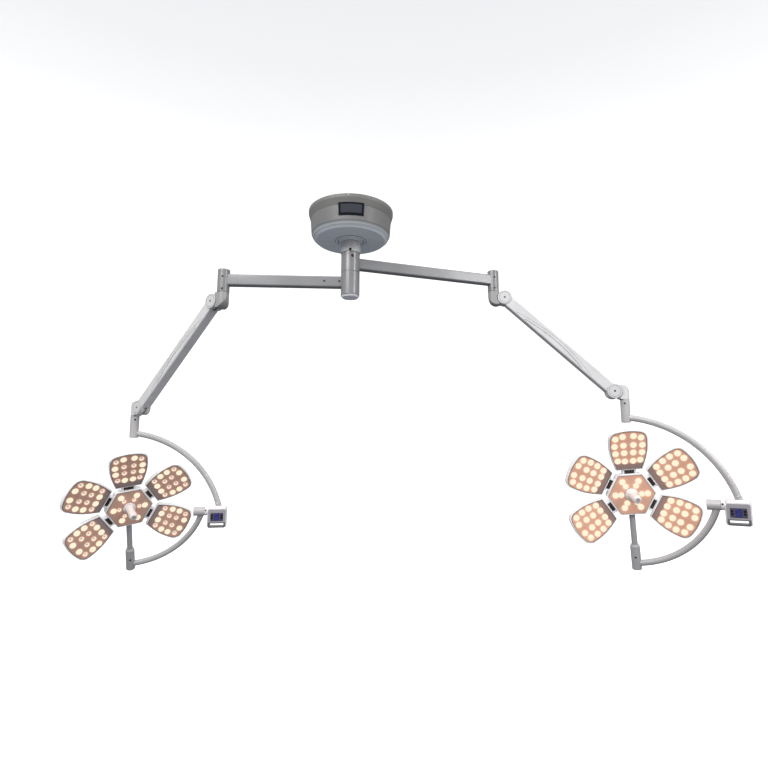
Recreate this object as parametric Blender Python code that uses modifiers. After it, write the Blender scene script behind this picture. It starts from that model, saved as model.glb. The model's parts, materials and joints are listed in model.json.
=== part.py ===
"""Ceiling-mounted surgical light: two petal heads, each on an extension arm, a balanced
spring arm and a two-part bow.

Metres, +Z up.  The origin is the middle of the ceiling plate's top face, on the axis of
the ceiling spindle.  +X points to the right-hand head and -Y to the front of the heads.
"""

import math

import bmesh
import bpy
from mathutils import Matrix, Vector

# ---------------------------------------------------------------- driving dimensions
GAP = 0.0003                    # clearance between pieces that touch
JOINT_GAP = 0.0005              # clearance across a turning joint
SEGMENTS = 24                   # facets round the large cylinders
CANOPY_SEGMENTS = 32            # facets round the canopy
FINE_SEGMENTS = 16              # facets round the small ones

# ceiling mount and canopy (heights run down from the ceiling)
PLATE_RADIUS = 0.150
PLATE_THICKNESS = 0.012
BOLT_CIRCLE = 0.125
BOLT_HOLE_RADIUS = 0.007
BOLT_COUNT = 6
CABLE_SLOT = (0.050, 0.016)         # width, height
CABLE_SLOT_OFFSET = 0.102
CANOPY_TOP_RADIUS = 0.2295
CANOPY_STEP_DEPTH = 0.052
CANOPY_STEP_RADIUS = 0.2265
CANOPY_RING_RADIUS = 0.2175
CANOPY_RING_DEPTH = 0.131
CANOPY_BOTTOM_RADIUS = 0.192
CANOPY_DEPTH = 0.163
CANOPY_WALL = 0.0025

# spindle and the two hubs stacked on it
FLANGE_RADIUS = 0.085
FLANGE_THICKNESS = 0.014
SLEEVE_RADIUS = 0.0535
SHAFT_RADIUS = 0.030
SHAFT_BORE = 0.014
SLEEVE_END = -0.2330
UPPER_HUB_END = -0.3406
LOWER_HUB_END = -0.4694
HUB_RADIUS = 0.0504
END_CAP_DEPTH = 0.009
POWER_SUPPLY_SIZE = (0.085, 0.120, 0.045)

# extension arms
ARM_TUBE_HEIGHT = 0.061
ARM_TUBE_WIDTH = 0.042
ARM_TUBE_WALL = 0.004
HOUSING_RADIUS = 0.032          # vertical housing at the arm's end
HOUSING_ABOVE = 0.057           # above and below the tube's middle
HOUSING_BELOW = 0.068
ELBOW_PIN_RADIUS = 0.016
ELBOW_PIN_LENGTH = 0.060

# balanced spring arm
KNUCKLE_REACH = 0.0616          # from the elbow axis to the arm's upper pivot
KNUCKLE_DROP = 0.0424
SPRING_ARM_LENGTH = 0.806       # pivot to pivot
SPRING_ARM_HEIGHT = 0.062
SPRING_ARM_WIDTH = 0.056
SPRING_ARM_WALL = 0.0065
PIVOT_HEAD_RADIUS = 0.0410      # round end of the arm
CUP_RADIUS = 0.0425             # hollow end of each knuckle
TONGUE_THICKNESS = 0.018
TONGUE_RADIUS = 0.026
SPRING_COIL_RADIUS = 0.0155
SPRING_WIRE_RADIUS = 0.0028
SPRING_TURNS = 9
SPRING_FROM = 0.16              # along the arm, from the upper pivot
SPRING_TO = 0.64
LEVEL_REACH = 0.0582            # from the lower pivot to the swivel axis
LEVEL_DROP = 0.0447

# bows, control unit and gimbal; the gimbal centre is where the three head axes meet
SWIVEL_LENGTH = 0.1278
SWIVEL_RADIUS = 0.0243
SWIVEL_PIN_RADIUS = 0.011
GIMBAL_DROP = 0.4267            # swivel's lower end to the gimbal centre
BOW_TUBE_RADIUS = 0.0165
UPPER_BOW_RADIUS = 0.583
UPPER_BOW_CENTRE = (-0.070, -0.125)     # x, z from the gimbal centre
LOWER_BOW_RADIUS = 0.4602
LOWER_BOW_CENTRE = (-0.045, 0.117)
BARREL_START = 0.352
BARREL_END = 0.413
BARREL_RADIUS = 0.026
CONTROL_START = 0.430
CONTROL_END = 0.541
CONTROL_TOP = 0.0286
CONTROL_BOTTOM = -0.096
CONTROL_THICKNESS = 0.056
GRIP_SLOT = (0.080, 0.0165)     # width, height
GRIP_SLOT_HEIGHT = -0.0775
DISPLAY_SIZE = (0.0726, 0.0480)
DISPLAY_HEIGHT = -0.0335
DISPLAY_THICKNESS = 0.0040
BUTTON_SIZE = 0.0100
BUTTON_SPACING = (0.0536, 0.0142)
BUTTON_PROUD = 0.0012
SOCKET_TOP = -0.2352
SOCKET_BOTTOM = -0.3743
SOCKET_RADIUS = 0.0245
SOCKET_BORE_DEPTH = 0.080
STEM_RADIUS = 0.015
STEM_PIN_RADIUS = 0.012

# lamp head, in a frame on the gimbal centre with the light shining along -Y
HEAD_RISE = 0.0448              # head centre above the gimbal centre
HEAD_FRONT = -0.0298            # plane of the light panels
HEAD_BACK = 0.036
HEXAGON_RADIUS = 0.1265         # centre to corner
HEXAGON_RIM = 0.006
PANEL_THICKNESS = 0.008
PETAL_ANGLES = (150, 90, 30, -30, -150)
PETAL_NAMES = ("upper_outer", "top", "upper_inner", "lower_inner", "lower_outer")
PETAL_DISH = 10.4               # forward lean of each petal, degrees
PETAL_HINGE = 0.130             # radius at which the lean starts
PETAL_DEPTH = 0.036
PETAL_RIM = 0.006
# (distance from the head centre, half width) down one side of a petal's light panel
NECK = (0.024, 0.072)               # depth, width
NECK_SLOT = (0.0200, 0.022, 0.052)
NECK_SLOT_OFFSET = 0.0126
PETAL_SIDE = ((0.141, 0.0626), (0.186, 0.0780), (0.230, 0.0886), (0.273, 0.0925), (0.312, 0.0915))
PETAL_TIP = 0.351
PETAL_CORNER = 0.040
HANDLE_LENGTH = 0.111
HANDLE_RADIUS = 0.021
HANDLE_RING_RADIUS = 0.034

# resting angles, degrees; headings are measured from +X towards +Y
SIDES = {
    "right": dict(arm_length=0.8695, arm_heading=17.95, hub=(SLEEVE_END, UPPER_HUB_END),
                  arm_height=-0.2890, spring_heading=-7.6, slope=43.8,
                  bow_heading=-32.9, tilt=12.4, turn=23.1),
    "left": dict(arm_length=0.6718, arm_heading=182.9, hub=(UPPER_HUB_END, LOWER_HUB_END),
                 arm_height=-0.3957, spring_heading=147.0, slope=41.8,
                 bow_heading=13.9, tilt=25.4, turn=23.1),
}

# colours (linear RGB), roughness, metallic
CANOPY_GREY = ((0.20, 0.20, 0.19), 0.45, 0.1)
COVER_GREY = ((0.23, 0.25, 0.27), 0.40, 0.1)
ARM_GREY = ((0.45, 0.45, 0.46), 0.38, 0.1)
ARM_WHITE = ((0.72, 0.72, 0.73), 0.35, 0.0)
SHELL_WHITE = ((0.82, 0.82, 0.84), 0.32, 0.0)
LIGHT_PANEL = ((0.33, 0.22, 0.18), 0.40, 0.2)
STEM_GREY = ((0.28, 0.28, 0.29), 0.40, 0.3)
STEEL = ((0.55, 0.55, 0.56), 0.30, 1.0)
BLACK = ((0.01, 0.01, 0.012), 0.40, 0.0)
SCREEN = ((0.02, 0.02, 0.10), 0.20, 0.0)


# ---------------------------------------------------------------- scene and mesh helpers
def clear_scene():
    for item in list(bpy.data.objects):
        bpy.data.objects.remove(item)


def add_collection(name):
    group = bpy.data.collections.new(name)
    bpy.context.scene.collection.children.link(group)
    return group


def working_object(data):
    """A construction object; bake() or boolean() turns it into a plain mesh again."""
    item = bpy.data.objects.new("construction", data)
    item.hide_render = True
    item.display_type = "WIRE"
    cutters.objects.link(item)
    return item


def bake(item):
    """The finished mesh of an object, modifiers included."""
    bpy.context.view_layer.update()
    evaluated = item.evaluated_get(bpy.context.evaluated_depsgraph_get())
    mesh = bpy.data.meshes.new_from_object(evaluated)
    mesh.transform(item.matrix_world)
    bpy.data.objects.remove(item)
    tidy = bmesh.new()
    tidy.from_mesh(mesh)
    bmesh.ops.remove_doubles(tidy, verts=tidy.verts, dist=1e-5)
    bmesh.ops.recalc_face_normals(tidy, faces=tidy.faces)
    tidy.to_mesh(mesh)
    tidy.free()
    return mesh


def boolean(operation, base, *others):
    """Cut or join meshes one after another."""
    item = working_object(base)
    tools = []
    for other in others:
        tool = working_object(other)
        tools.append(tool)
        modifier = item.modifiers.new("boolean", "BOOLEAN")
        modifier.operation = operation
        modifier.solver = "EXACT"
        modifier.object = tool
    mesh = bake(item)
    for tool in tools:
        bpy.data.objects.remove(tool)
    return mesh


def union(base, *others):
    return boolean("UNION", base, *others)


def cut(base, *others):
    return boolean("DIFFERENCE", base, *others)


def moved(mesh, offset=(0, 0, 0), about="Z", degrees=0.0):
    mesh.transform(Matrix.Translation(offset) @ Matrix.Rotation(math.radians(degrees), 4, about))
    return mesh


def box(size, centre=(0, 0, 0), radius=0.0, segments=2):
    """A box, its edges rounded when a radius is given."""
    shape = bmesh.new()
    bmesh.ops.create_cube(shape, size=1.0)
    bmesh.ops.scale(shape, vec=size, verts=shape.verts)
    bmesh.ops.translate(shape, vec=centre, verts=shape.verts)
    mesh = bpy.data.meshes.new("box")
    shape.to_mesh(mesh)
    shape.free()
    if radius == 0.0:
        return mesh
    item = working_object(mesh)
    bevel = item.modifiers.new("rounded", "BEVEL")
    bevel.width = radius
    bevel.segments = segments
    bevel.limit_method = "NONE"
    return bake(item)


def cylinder(radius, start, end, axis="Z", segments=FINE_SEGMENTS, centre=(0, 0, 0)):
    """A cylinder along one axis, between two positions on it."""
    shape = bmesh.new()
    bmesh.ops.create_cone(shape, cap_ends=True, segments=segments, radius1=radius,
                          radius2=radius, depth=end - start)
    bmesh.ops.translate(shape, vec=(0, 0, (start + end) / 2), verts=shape.verts)
    mesh = bpy.data.meshes.new("cylinder")
    shape.to_mesh(mesh)
    shape.free()
    if axis == "X":
        mesh.transform(Matrix.Rotation(math.pi / 2, 4, "Y"))
    if axis == "Y":
        mesh.transform(Matrix.Rotation(-math.pi / 2, 4, "X"))
    mesh.transform(Matrix.Translation(centre))
    return mesh


def turned(profile, closed=False, steps=SEGMENTS):
    """A turned piece from (radius, height) points that run down its outer side."""
    mesh = bpy.data.meshes.new("profile")
    count = len(profile)
    edges = [(i, i + 1) for i in range(count - 1)]
    if closed:
        edges.append((count - 1, 0))
    mesh.from_pydata([(radius, 0, height) for radius, height in profile], edges, [])
    item = working_object(mesh)
    screw = item.modifiers.new("turned", "SCREW")
    screw.axis = "Z"
    screw.steps = steps
    screw.render_steps = steps
    screw.use_merge_vertices = True
    screw.merge_threshold = 0.00001
    return bake(item)


def plate(outline, thickness, bevel=0.0, bevel_steps=1):
    """A flat piece from an (x, y) outline, centred on its middle plane."""
    curve = bpy.data.curves.new("outline", "CURVE")
    curve.dimensions = "2D"
    curve.fill_mode = "BOTH"
    curve.extrude = thickness / 2 - bevel
    curve.bevel_depth = bevel
    curve.bevel_resolution = bevel_steps
    curve.offset = -bevel
    curve.render_resolution_u = 0
    spline = curve.splines.new("POLY")
    spline.points.add(len(outline) - 1)
    for point, (x, y) in zip(spline.points, outline):
        point.co = (x, y, 0, 1)
    spline.use_cyclic_u = True
    return bake(working_object(curve))


def tube(points, radius, resolution=2):
    """A round tube with closed ends along a row of points."""
    curve = bpy.data.curves.new("tube", "CURVE")
    curve.dimensions = "3D"
    curve.bevel_depth = radius
    curve.bevel_resolution = resolution
    curve.use_fill_caps = True
    curve.render_resolution_u = 0
    spline = curve.splines.new("POLY")
    spline.points.add(len(points) - 1)
    for point, place in zip(spline.points, points):
        point.co = (*place, 1)
    return bake(working_object(curve))


def arc(centre, radius, start, end, count):
    """Points on an arc, angles in degrees."""
    angles = [math.radians(start + (end - start) * i / (count - 1)) for i in range(count)]
    return [(centre[0] + radius * math.cos(a), centre[1] + radius * math.sin(a)) for a in angles]


# ---------------------------------------------------------------- ceiling pieces
def ceiling_plate():
    mesh = cylinder(PLATE_RADIUS, -PLATE_THICKNESS, 0, segments=CANOPY_SEGMENTS)
    holes = []
    for index in range(BOLT_COUNT):
        angle = 2 * math.pi * index / BOLT_COUNT
        place = (BOLT_CIRCLE * math.cos(angle), BOLT_CIRCLE * math.sin(angle), 0)
        holes.append(cylinder(BOLT_HOLE_RADIUS, -0.05, 0.05, segments=12, centre=place))
    for side in (-1, 1):
        holes.append(box((*CABLE_SLOT, 0.1), (0, side * CABLE_SLOT_OFFSET, 0)))
    return cut(mesh, *holes)


def canopy_shell():
    """Tapered upper skirt, open to the ceiling, with a lip that carries the lower cover."""
    top = -0.001
    lip = CANOPY_RING_RADIUS - 0.012
    return turned([
        (CANOPY_TOP_RADIUS - 0.002, top), (CANOPY_TOP_RADIUS, top - 0.003),
        (CANOPY_STEP_RADIUS, -CANOPY_STEP_DEPTH + 0.004),
        (CANOPY_STEP_RADIUS - 0.003, -CANOPY_STEP_DEPTH),
        (lip, -CANOPY_STEP_DEPTH), (lip, -CANOPY_STEP_DEPTH + CANOPY_WALL),
        (CANOPY_STEP_RADIUS - CANOPY_WALL - 0.001, -CANOPY_STEP_DEPTH + CANOPY_WALL),
        (CANOPY_TOP_RADIUS - CANOPY_WALL - 0.002, top),
    ], closed=True, steps=CANOPY_SEGMENTS)


def canopy_lower_cover():
    """Lower dish with a rounded shoulder and a raised trim ring round the spindle."""
    top = -CANOPY_STEP_DEPTH - GAP
    hole = SLEEVE_RADIUS + 0.001
    inner = CANOPY_WALL
    outer_side = [
        (CANOPY_RING_RADIUS, top), (CANOPY_RING_RADIUS - 0.005, -CANOPY_RING_DEPTH),
        (CANOPY_RING_RADIUS - 0.012, -CANOPY_RING_DEPTH - 0.014),
        (CANOPY_BOTTOM_RADIUS, -CANOPY_DEPTH + 0.002), (CANOPY_BOTTOM_RADIUS - 0.006, -CANOPY_DEPTH),
        (0.078, -CANOPY_DEPTH), (0.076, -CANOPY_DEPTH - 0.004), (hole + 0.006, -CANOPY_DEPTH - 0.006),
        (hole, -CANOPY_DEPTH - 0.006),
    ]
    inner_side = [
        (hole, -CANOPY_DEPTH + inner), (CANOPY_BOTTOM_RADIUS - 0.006, -CANOPY_DEPTH + inner),
        (CANOPY_RING_RADIUS - 0.012 - inner, -CANOPY_RING_DEPTH - 0.012),
        (CANOPY_RING_RADIUS - 0.005 - inner, -CANOPY_RING_DEPTH),
        (CANOPY_RING_RADIUS - inner, top),
    ]
    return turned(outer_side + inner_side, closed=True, steps=CANOPY_SEGMENTS)


def spindle():
    top = -PLATE_THICKNESS - GAP
    bottom = LOWER_HUB_END - GAP
    flange = top - FLANGE_THICKNESS
    return turned([
        (SHAFT_BORE, top), (FLANGE_RADIUS, top), (FLANGE_RADIUS, flange), (SLEEVE_RADIUS, flange),
        (SLEEVE_RADIUS, SLEEVE_END + 0.0015), (SLEEVE_RADIUS - 0.0015, SLEEVE_END),
        (SHAFT_RADIUS, SLEEVE_END), (SHAFT_RADIUS, bottom), (SHAFT_BORE, bottom),
    ], closed=True)


def spindle_end_cap():
    top = LOWER_HUB_END - 2 * GAP - JOINT_GAP
    bottom = top - END_CAP_DEPTH
    return turned([
        (0, top), (HUB_RADIUS - 0.0015, top), (HUB_RADIUS - 0.0015, top - 0.002),
        (HUB_RADIUS - 0.008, bottom), (0, bottom),
    ])


def power_supply():
    return box(POWER_SUPPLY_SIZE, radius=0.003, segments=1)


# ---------------------------------------------------------------- arm pieces
def extension_arm(length, hub, arm_height):
    """Hub, rectangular tube and end housing welded together; the tube runs along +X."""
    hub_top = hub[0] - JOINT_GAP - arm_height
    hub_bottom = hub[1] - arm_height
    chamfer = 0.0015
    bore = SHAFT_RADIUS + JOINT_GAP
    hub_mesh = turned([
        (bore, hub_top), (HUB_RADIUS - chamfer, hub_top), (HUB_RADIUS, hub_top - chamfer),
        (HUB_RADIUS, hub_bottom + chamfer), (HUB_RADIUS - chamfer, hub_bottom), (bore, hub_bottom),
    ], closed=True)
    pin_bore = ELBOW_PIN_RADIUS + JOINT_GAP
    ceiling = HOUSING_ABOVE - 0.006
    housing = turned([
        (0, HOUSING_ABOVE), (HOUSING_RADIUS - 0.004, HOUSING_ABOVE),
        (HOUSING_RADIUS, HOUSING_ABOVE - 0.002), (HOUSING_RADIUS, -HOUSING_BELOW + chamfer),
        (HOUSING_RADIUS - chamfer, -HOUSING_BELOW), (pin_bore, -HOUSING_BELOW),
        (pin_bore, ceiling), (0, ceiling),
    ])
    moved(housing, (length, 0, 0))
    start = 0.040
    end = length - HOUSING_RADIUS + 0.008
    middle = ((start + end) / 2, 0, 0)
    tube_mesh = box((end - start, ARM_TUBE_WIDTH, ARM_TUBE_HEIGHT), middle, 0.008)
    hollow = box((length - 0.030, ARM_TUBE_WIDTH - 2 * ARM_TUBE_WALL,
                  ARM_TUBE_HEIGHT - 2 * ARM_TUBE_WALL - 0.010), (length / 2 + 0.005, 0, 0))
    return cut(union(tube_mesh, hub_mesh, housing), hollow)


def knuckle_plan(radius, reach):
    """Plan outline of a knuckle: round about its vertical axis, straight towards the arm."""
    back = arc((0, 0), radius, 90, 270, 13)
    return back + [(reach, -radius), (reach, radius)]


def upper_knuckle():
    """Elbow under the extension arm; its hollow end takes the round head of the spring arm."""
    radius = HOUSING_RADIUS - 0.0005
    pivot = (KNUCKLE_REACH, -KNUCKLE_DROP)
    outline = [(radius, -JOINT_GAP), (-radius, -JOINT_GAP), (-radius, -0.028)]
    outline += arc((0.021, -0.034), 0.051, 187, 262, 6)
    outline += arc(pivot, CUP_RADIUS, 240, 133, 9)
    side = plate(outline, SPRING_ARM_WIDTH + 0.004)
    side.transform(Matrix.Rotation(math.pi / 2, 4, "X"))
    body = boolean("INTERSECT", side, plate(knuckle_plan(radius, 0.12), 0.3))
    pin = cylinder(ELBOW_PIN_RADIUS, -0.02, ELBOW_PIN_LENGTH)
    return union(body, pin, tongue(pivot, (0.012, -KNUCKLE_DROP)))


def tongue(pivot, root):
    """Flat tongue that reaches from a knuckle to its pivot, with a round end."""
    across = Vector((pivot[0] - root[0], 0, pivot[1] - root[1])).normalized()
    heading = math.degrees(math.atan2(across.z, across.x))
    half = TONGUE_RADIUS * 0.72
    eye = arc(pivot, TONGUE_RADIUS, heading + 134, heading - 134, 13)
    normal = Vector((-across.z, 0, across.x))
    first = (root[0] - normal.x * half, root[1] - normal.z * half)
    last = (root[0] + normal.x * half, root[1] + normal.z * half)
    mesh = plate(eye + [first, last], TONGUE_THICKNESS)
    mesh.transform(Matrix.Rotation(math.pi / 2, 4, "X"))
    return mesh


def spring_arm():
    """Hollow balanced arm along +X with a slotted round head at each end."""
    half = SPRING_ARM_WIDTH / 2
    middle = (SPRING_ARM_LENGTH / 2, 0, 0)
    beam = box((SPRING_ARM_LENGTH, SPRING_ARM_WIDTH, SPRING_ARM_HEIGHT), middle, 0.007)
    ends = (0, SPRING_ARM_LENGTH)
    heads = [cylinder(PIVOT_HEAD_RADIUS, -half - 0.003, half + 0.003, "Y", SEGMENTS, (x, 0, 0))
             for x in ends]
    slots = [cylinder(CUP_RADIUS + 0.003, -TONGUE_THICKNESS / 2 - JOINT_GAP,
                      TONGUE_THICKNESS / 2 + JOINT_GAP, "Y", SEGMENTS, (x, 0, 0)) for x in ends]
    hollow = box((SPRING_ARM_LENGTH - 2 * PIVOT_HEAD_RADIUS + 0.004,
                  SPRING_ARM_WIDTH - 2 * SPRING_ARM_WALL,
                  SPRING_ARM_HEIGHT - 2 * SPRING_ARM_WALL), middle)
    return cut(union(beam, *heads), *slots, hollow)


def balance_spring():
    """Compression spring inside the arm, on the arm's middle line."""
    per_turn = 9
    count = SPRING_TURNS * per_turn
    points = []
    for index in range(count + 1):
        angle = 2 * math.pi * index / per_turn
        x = SPRING_FROM + (SPRING_TO - SPRING_FROM) * index / count
        points.append((x, SPRING_COIL_RADIUS * math.cos(angle), SPRING_COIL_RADIUS * math.sin(angle)))
    return tube(points, SPRING_WIRE_RADIUS, resolution=0)


def lower_knuckle():
    """Levelled knuckle at the arm's lower end, with a bore for the swivel pin."""
    radius = SWIVEL_RADIUS
    floor = -LEVEL_DROP
    outline = [(LEVEL_REACH + radius, floor), (LEVEL_REACH + radius, -0.010)]
    outline += arc((0.034, -0.006), 0.0485, 8, 62, 5)
    outline += arc((0, 0), CUP_RADIUS, 62, -62, 9)
    outline += [(LEVEL_REACH - radius, floor)]
    side = plate(outline, SPRING_ARM_WIDTH)
    side.transform(Matrix.Rotation(math.pi / 2, 4, "X"))
    plan_outline = [(LEVEL_REACH - x, y) for x, y in knuckle_plan(radius + 0.0003, 0.10)]
    plan_outline.reverse()
    body = boolean("INTERSECT", side, plate(plan_outline, 0.3))
    body = union(body, tongue((0, 0), (LEVEL_REACH - 0.004, -0.008)))
    bore = cylinder(SWIVEL_PIN_RADIUS + JOINT_GAP, floor - 0.01, floor + 0.036,
                    centre=(LEVEL_REACH, 0, 0))
    return cut(body, bore)


# ---------------------------------------------------------------- bow and control unit
def upper_bow():
    """Swivel barrel with the upper bow tube; origin on the swivel's upper end."""
    radius = SWIVEL_RADIUS
    gimbal = -SWIVEL_LENGTH - GIMBAL_DROP
    swivel = turned([
        (0, 0.032), (SWIVEL_PIN_RADIUS, 0.032), (SWIVEL_PIN_RADIUS, -JOINT_GAP),
        (radius - 0.001, -JOINT_GAP), (radius, -0.002), (radius - 0.0008, -SWIVEL_LENGTH + 0.002),
        (radius - 0.003, -SWIVEL_LENGTH), (0, -SWIVEL_LENGTH),
    ])
    centre = (UPPER_BOW_CENTRE[0], UPPER_BOW_CENTRE[1] + gimbal)
    path = arc(centre, UPPER_BOW_RADIUS, 82.6, 14.6, 13)
    return union(swivel, tube([(x, 0, z) for x, z in path], BOW_TUBE_RADIUS))


def control_housing():
    """Rounded case with a grip slot, a display pocket and the pin that the lower bow turns on."""
    width = CONTROL_END - CONTROL_START
    centre = ((CONTROL_START + CONTROL_END) / 2, 0, (CONTROL_TOP + CONTROL_BOTTOM) / 2)
    case = box((width, CONTROL_THICKNESS, CONTROL_TOP - CONTROL_BOTTOM), centre, 0.011, 3)
    collar = cylinder(BARREL_RADIUS - 0.001, BARREL_END + JOINT_GAP, CONTROL_START + 0.010, "X", SEGMENTS)
    pin = cylinder(0.0115, BARREL_START + 0.018, CONTROL_START + 0.010, "X")
    grip = box((GRIP_SLOT[0], 0.2, GRIP_SLOT[1]), (centre[0], 0, GRIP_SLOT_HEIGHT), 0.005)
    front = -CONTROL_THICKNESS / 2
    pocket = box((DISPLAY_SIZE[0] + 2 * GAP, 0.02, DISPLAY_SIZE[1] + 2 * GAP),
                 (centre[0], front + DISPLAY_THICKNESS + 0.0005 - 0.01, DISPLAY_HEIGHT))
    end = arc(UPPER_BOW_CENTRE, UPPER_BOW_RADIUS, 14.6, 19.0, 2)
    socket = cylinder(BOW_TUBE_RADIUS + 0.0008, -0.001, 0.045)
    lean = math.degrees(math.atan2(end[1][0] - end[0][0], end[1][1] - end[0][1]))
    moved(socket, (end[0][0], 0, end[0][1]), "Y", lean)
    return cut(union(case, collar, pin), grip, pocket, socket)


def button_places():
    """Centres of the four keys, (x, z) from the gimbal centre."""
    middle = (CONTROL_START + CONTROL_END) / 2
    return [(middle + sx * BUTTON_SPACING[0] / 2, DISPLAY_HEIGHT + 0.001 + sz * BUTTON_SPACING[1] / 2)
            for sx in (-1, 1) for sz in (1, -1)]


def display_panel():
    """Dark window with the screen and four square key holes."""
    middle = (CONTROL_START + CONTROL_END) / 2
    front = -CONTROL_THICKNESS / 2
    panel = box((DISPLAY_SIZE[0], DISPLAY_THICKNESS, DISPLAY_SIZE[1]),
                (middle, front + DISPLAY_THICKNESS / 2, DISPLAY_HEIGHT))
    hole = BUTTON_SIZE + 0.0008
    holes = [box((hole, 0.05, hole), (x, front, z)) for x, z in button_places()]
    return cut(panel, *holes)


def button():
    """Square key, centred on its own front face."""
    return box((BUTTON_SIZE, 0.0034, BUTTON_SIZE), (0, 0.0017, 0), 0.0006, 1)


def lower_bow():
    """Barrel on the control unit, quarter bow and the socket for the head's stem."""
    barrel = cylinder(BARREL_RADIUS, BARREL_START, BARREL_END, "X", SEGMENTS)
    bore = cylinder(0.0115 + JOINT_GAP, BARREL_START + 0.014, BARREL_END + 0.05, "X")
    path = arc(LOWER_BOW_CENTRE, LOWER_BOW_RADIUS, -17.4, -83.2, 12)
    bow = tube([(x, 0, z) for x, z in path], BOW_TUBE_RADIUS)
    socket = turned([
        (0, SOCKET_TOP), (STEM_RADIUS + 0.003, SOCKET_TOP), (SOCKET_RADIUS, SOCKET_TOP - 0.010),
        (SOCKET_RADIUS, SOCKET_BOTTOM + 0.003), (SOCKET_RADIUS - 0.003, SOCKET_BOTTOM),
        (0, SOCKET_BOTTOM),
    ])
    socket_bore = cylinder(STEM_PIN_RADIUS + JOINT_GAP, SOCKET_TOP - SOCKET_BORE_DEPTH, SOCKET_TOP + 0.02)
    return cut(union(barrel, bow, socket), bore, socket_bore)


# ---------------------------------------------------------------- lamp head
def stem():
    """Tube that carries the head and turns in the lower bow's socket."""
    floor = HEAD_RISE - HEXAGON_RADIUS * math.cos(math.pi / 6)
    top = floor + 0.016
    shoulder = SOCKET_TOP + JOINT_GAP
    tip = SOCKET_TOP - SOCKET_BORE_DEPTH + 0.004
    return turned([
        (0, top), (STEM_RADIUS, top), (STEM_RADIUS, shoulder), (STEM_PIN_RADIUS, shoulder),
        (STEM_PIN_RADIUS, tip), (0, tip),
    ], steps=FINE_SEGMENTS)


def hexagon(radius):
    return arc((0, 0), radius, 0, 300, 6)


def upright(mesh, middle):
    """Stand a flat plate up so that its face looks along -Y, centred on the head."""
    mesh.transform(Matrix.Rotation(math.pi / 2, 4, "X"))
    return moved(mesh, (0, middle, HEAD_RISE))


def centre_housing():
    depth = HEAD_BACK - HEAD_FRONT
    body = upright(plate(hexagon(HEXAGON_RADIUS), depth, bevel=0.006), (HEAD_FRONT + HEAD_BACK) / 2)
    inner = upright(plate(hexagon(HEXAGON_RADIUS - HEXAGON_RIM), depth), HEAD_FRONT + depth / 2 - 0.006)
    floor = HEAD_RISE - HEXAGON_RADIUS
    stem_hole = cylinder(STEM_RADIUS + GAP, floor - 0.02, floor + 0.05)
    return cut(body, inner, stem_hole)


def centre_front():
    """Light panel of the hexagon with the handle's hole."""
    panel = upright(plate(hexagon(HEXAGON_RADIUS - HEXAGON_RIM - 2 * GAP), PANEL_THICKNESS),
                    HEAD_FRONT + 0.001 + PANEL_THICKNESS / 2)
    hole = cylinder(0.010 + JOINT_GAP, HEAD_FRONT - 0.05, HEAD_FRONT + 0.05, "Y",
                    centre=(0, 0, HEAD_RISE))
    return cut(panel, hole)


def handle():
    """Turned grip on the head's own axis; origin on the panel's front, pointing along -Y."""
    length = HANDLE_LENGTH
    grip = HANDLE_RADIUS
    profile = [
        (0, 0.016), (0.010, 0.016), (0.010, -GAP), (HANDLE_RING_RADIUS, -GAP),
        (HANDLE_RING_RADIUS, -0.005), (HANDLE_RING_RADIUS - 0.004, -0.009), (grip + 0.003, -0.012),
        (grip, -0.020), (grip - 0.0015, -length * 0.55), (grip, -length + 0.016),
        (grip - 0.003, -length + 0.006), (grip - 0.009, -length + 0.001), (0, -length),
    ]
    mesh = turned(profile, steps=18)
    mesh.transform(Matrix.Rotation(-math.pi / 2, 4, "X"))
    return mesh


def petal_outline(grow):
    """Petal outline, (distance from the head centre, sideways), grown outwards all round."""
    side = [(distance, half + grow) for distance, half in PETAL_SIDE]
    side[0] = (PETAL_SIDE[0][0] - grow, PETAL_SIDE[0][1] + grow * 0.8)
    corner = PETAL_CORNER + grow * 0.5
    middle = (PETAL_TIP - 0.0065 + grow - corner, PETAL_SIDE[-1][1] + grow - corner)
    side += arc(middle, corner, 68, 12, 4)
    side += [(PETAL_TIP - 0.0015 + grow, middle[1] * 0.5)]
    other = [(distance, -half) for distance, half in reversed(side)]
    return other + side


def petal_frame():
    """Lean of a petal about its hinge line, in the frame whose +X runs outwards."""
    hinge = Matrix.Translation((PETAL_HINGE, HEAD_FRONT, 0))
    lean = Matrix.Rotation(-math.radians(PETAL_DISH), 4, "Z")
    return hinge @ lean @ hinge.inverted()


def petal_plate(grow, front, thickness, bevel=0.0):
    """Plate with a petal outline; its face looks along -Y and it leans with the petal."""
    mesh = plate(petal_outline(grow), thickness, bevel=bevel)
    mesh.transform(Matrix.Rotation(math.pi / 2, 4, "X"))
    mesh.transform(Matrix.Translation((0, front + thickness / 2, 0)))
    mesh.transform(petal_frame())
    return mesh


def petal_shell():
    """Tray with its neck to the hexagon; +X runs outwards along the petal's middle line."""
    tray = petal_plate(PETAL_RIM, HEAD_FRONT - 0.001, PETAL_DEPTH, bevel=0.004)
    inner = petal_plate(0.0, HEAD_FRONT - 0.03, PETAL_DEPTH + 0.026)
    start = HEXAGON_RADIUS * math.cos(math.pi / 6) + GAP
    end = PETAL_SIDE[0][0] - PETAL_RIM * 0.5
    neck = box((end - start, *NECK), ((start + end) / 2, HEAD_FRONT + 0.0145, 0))
    slot = box(NECK_SLOT, (start + NECK_SLOT_OFFSET, HEAD_FRONT, 0))
    return cut(union(tray, neck), inner, slot)


def petal_front():
    """Light panel that closes the petal's tray."""
    return petal_plate(-0.0006, HEAD_FRONT + 0.0005, PANEL_THICKNESS)


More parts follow.
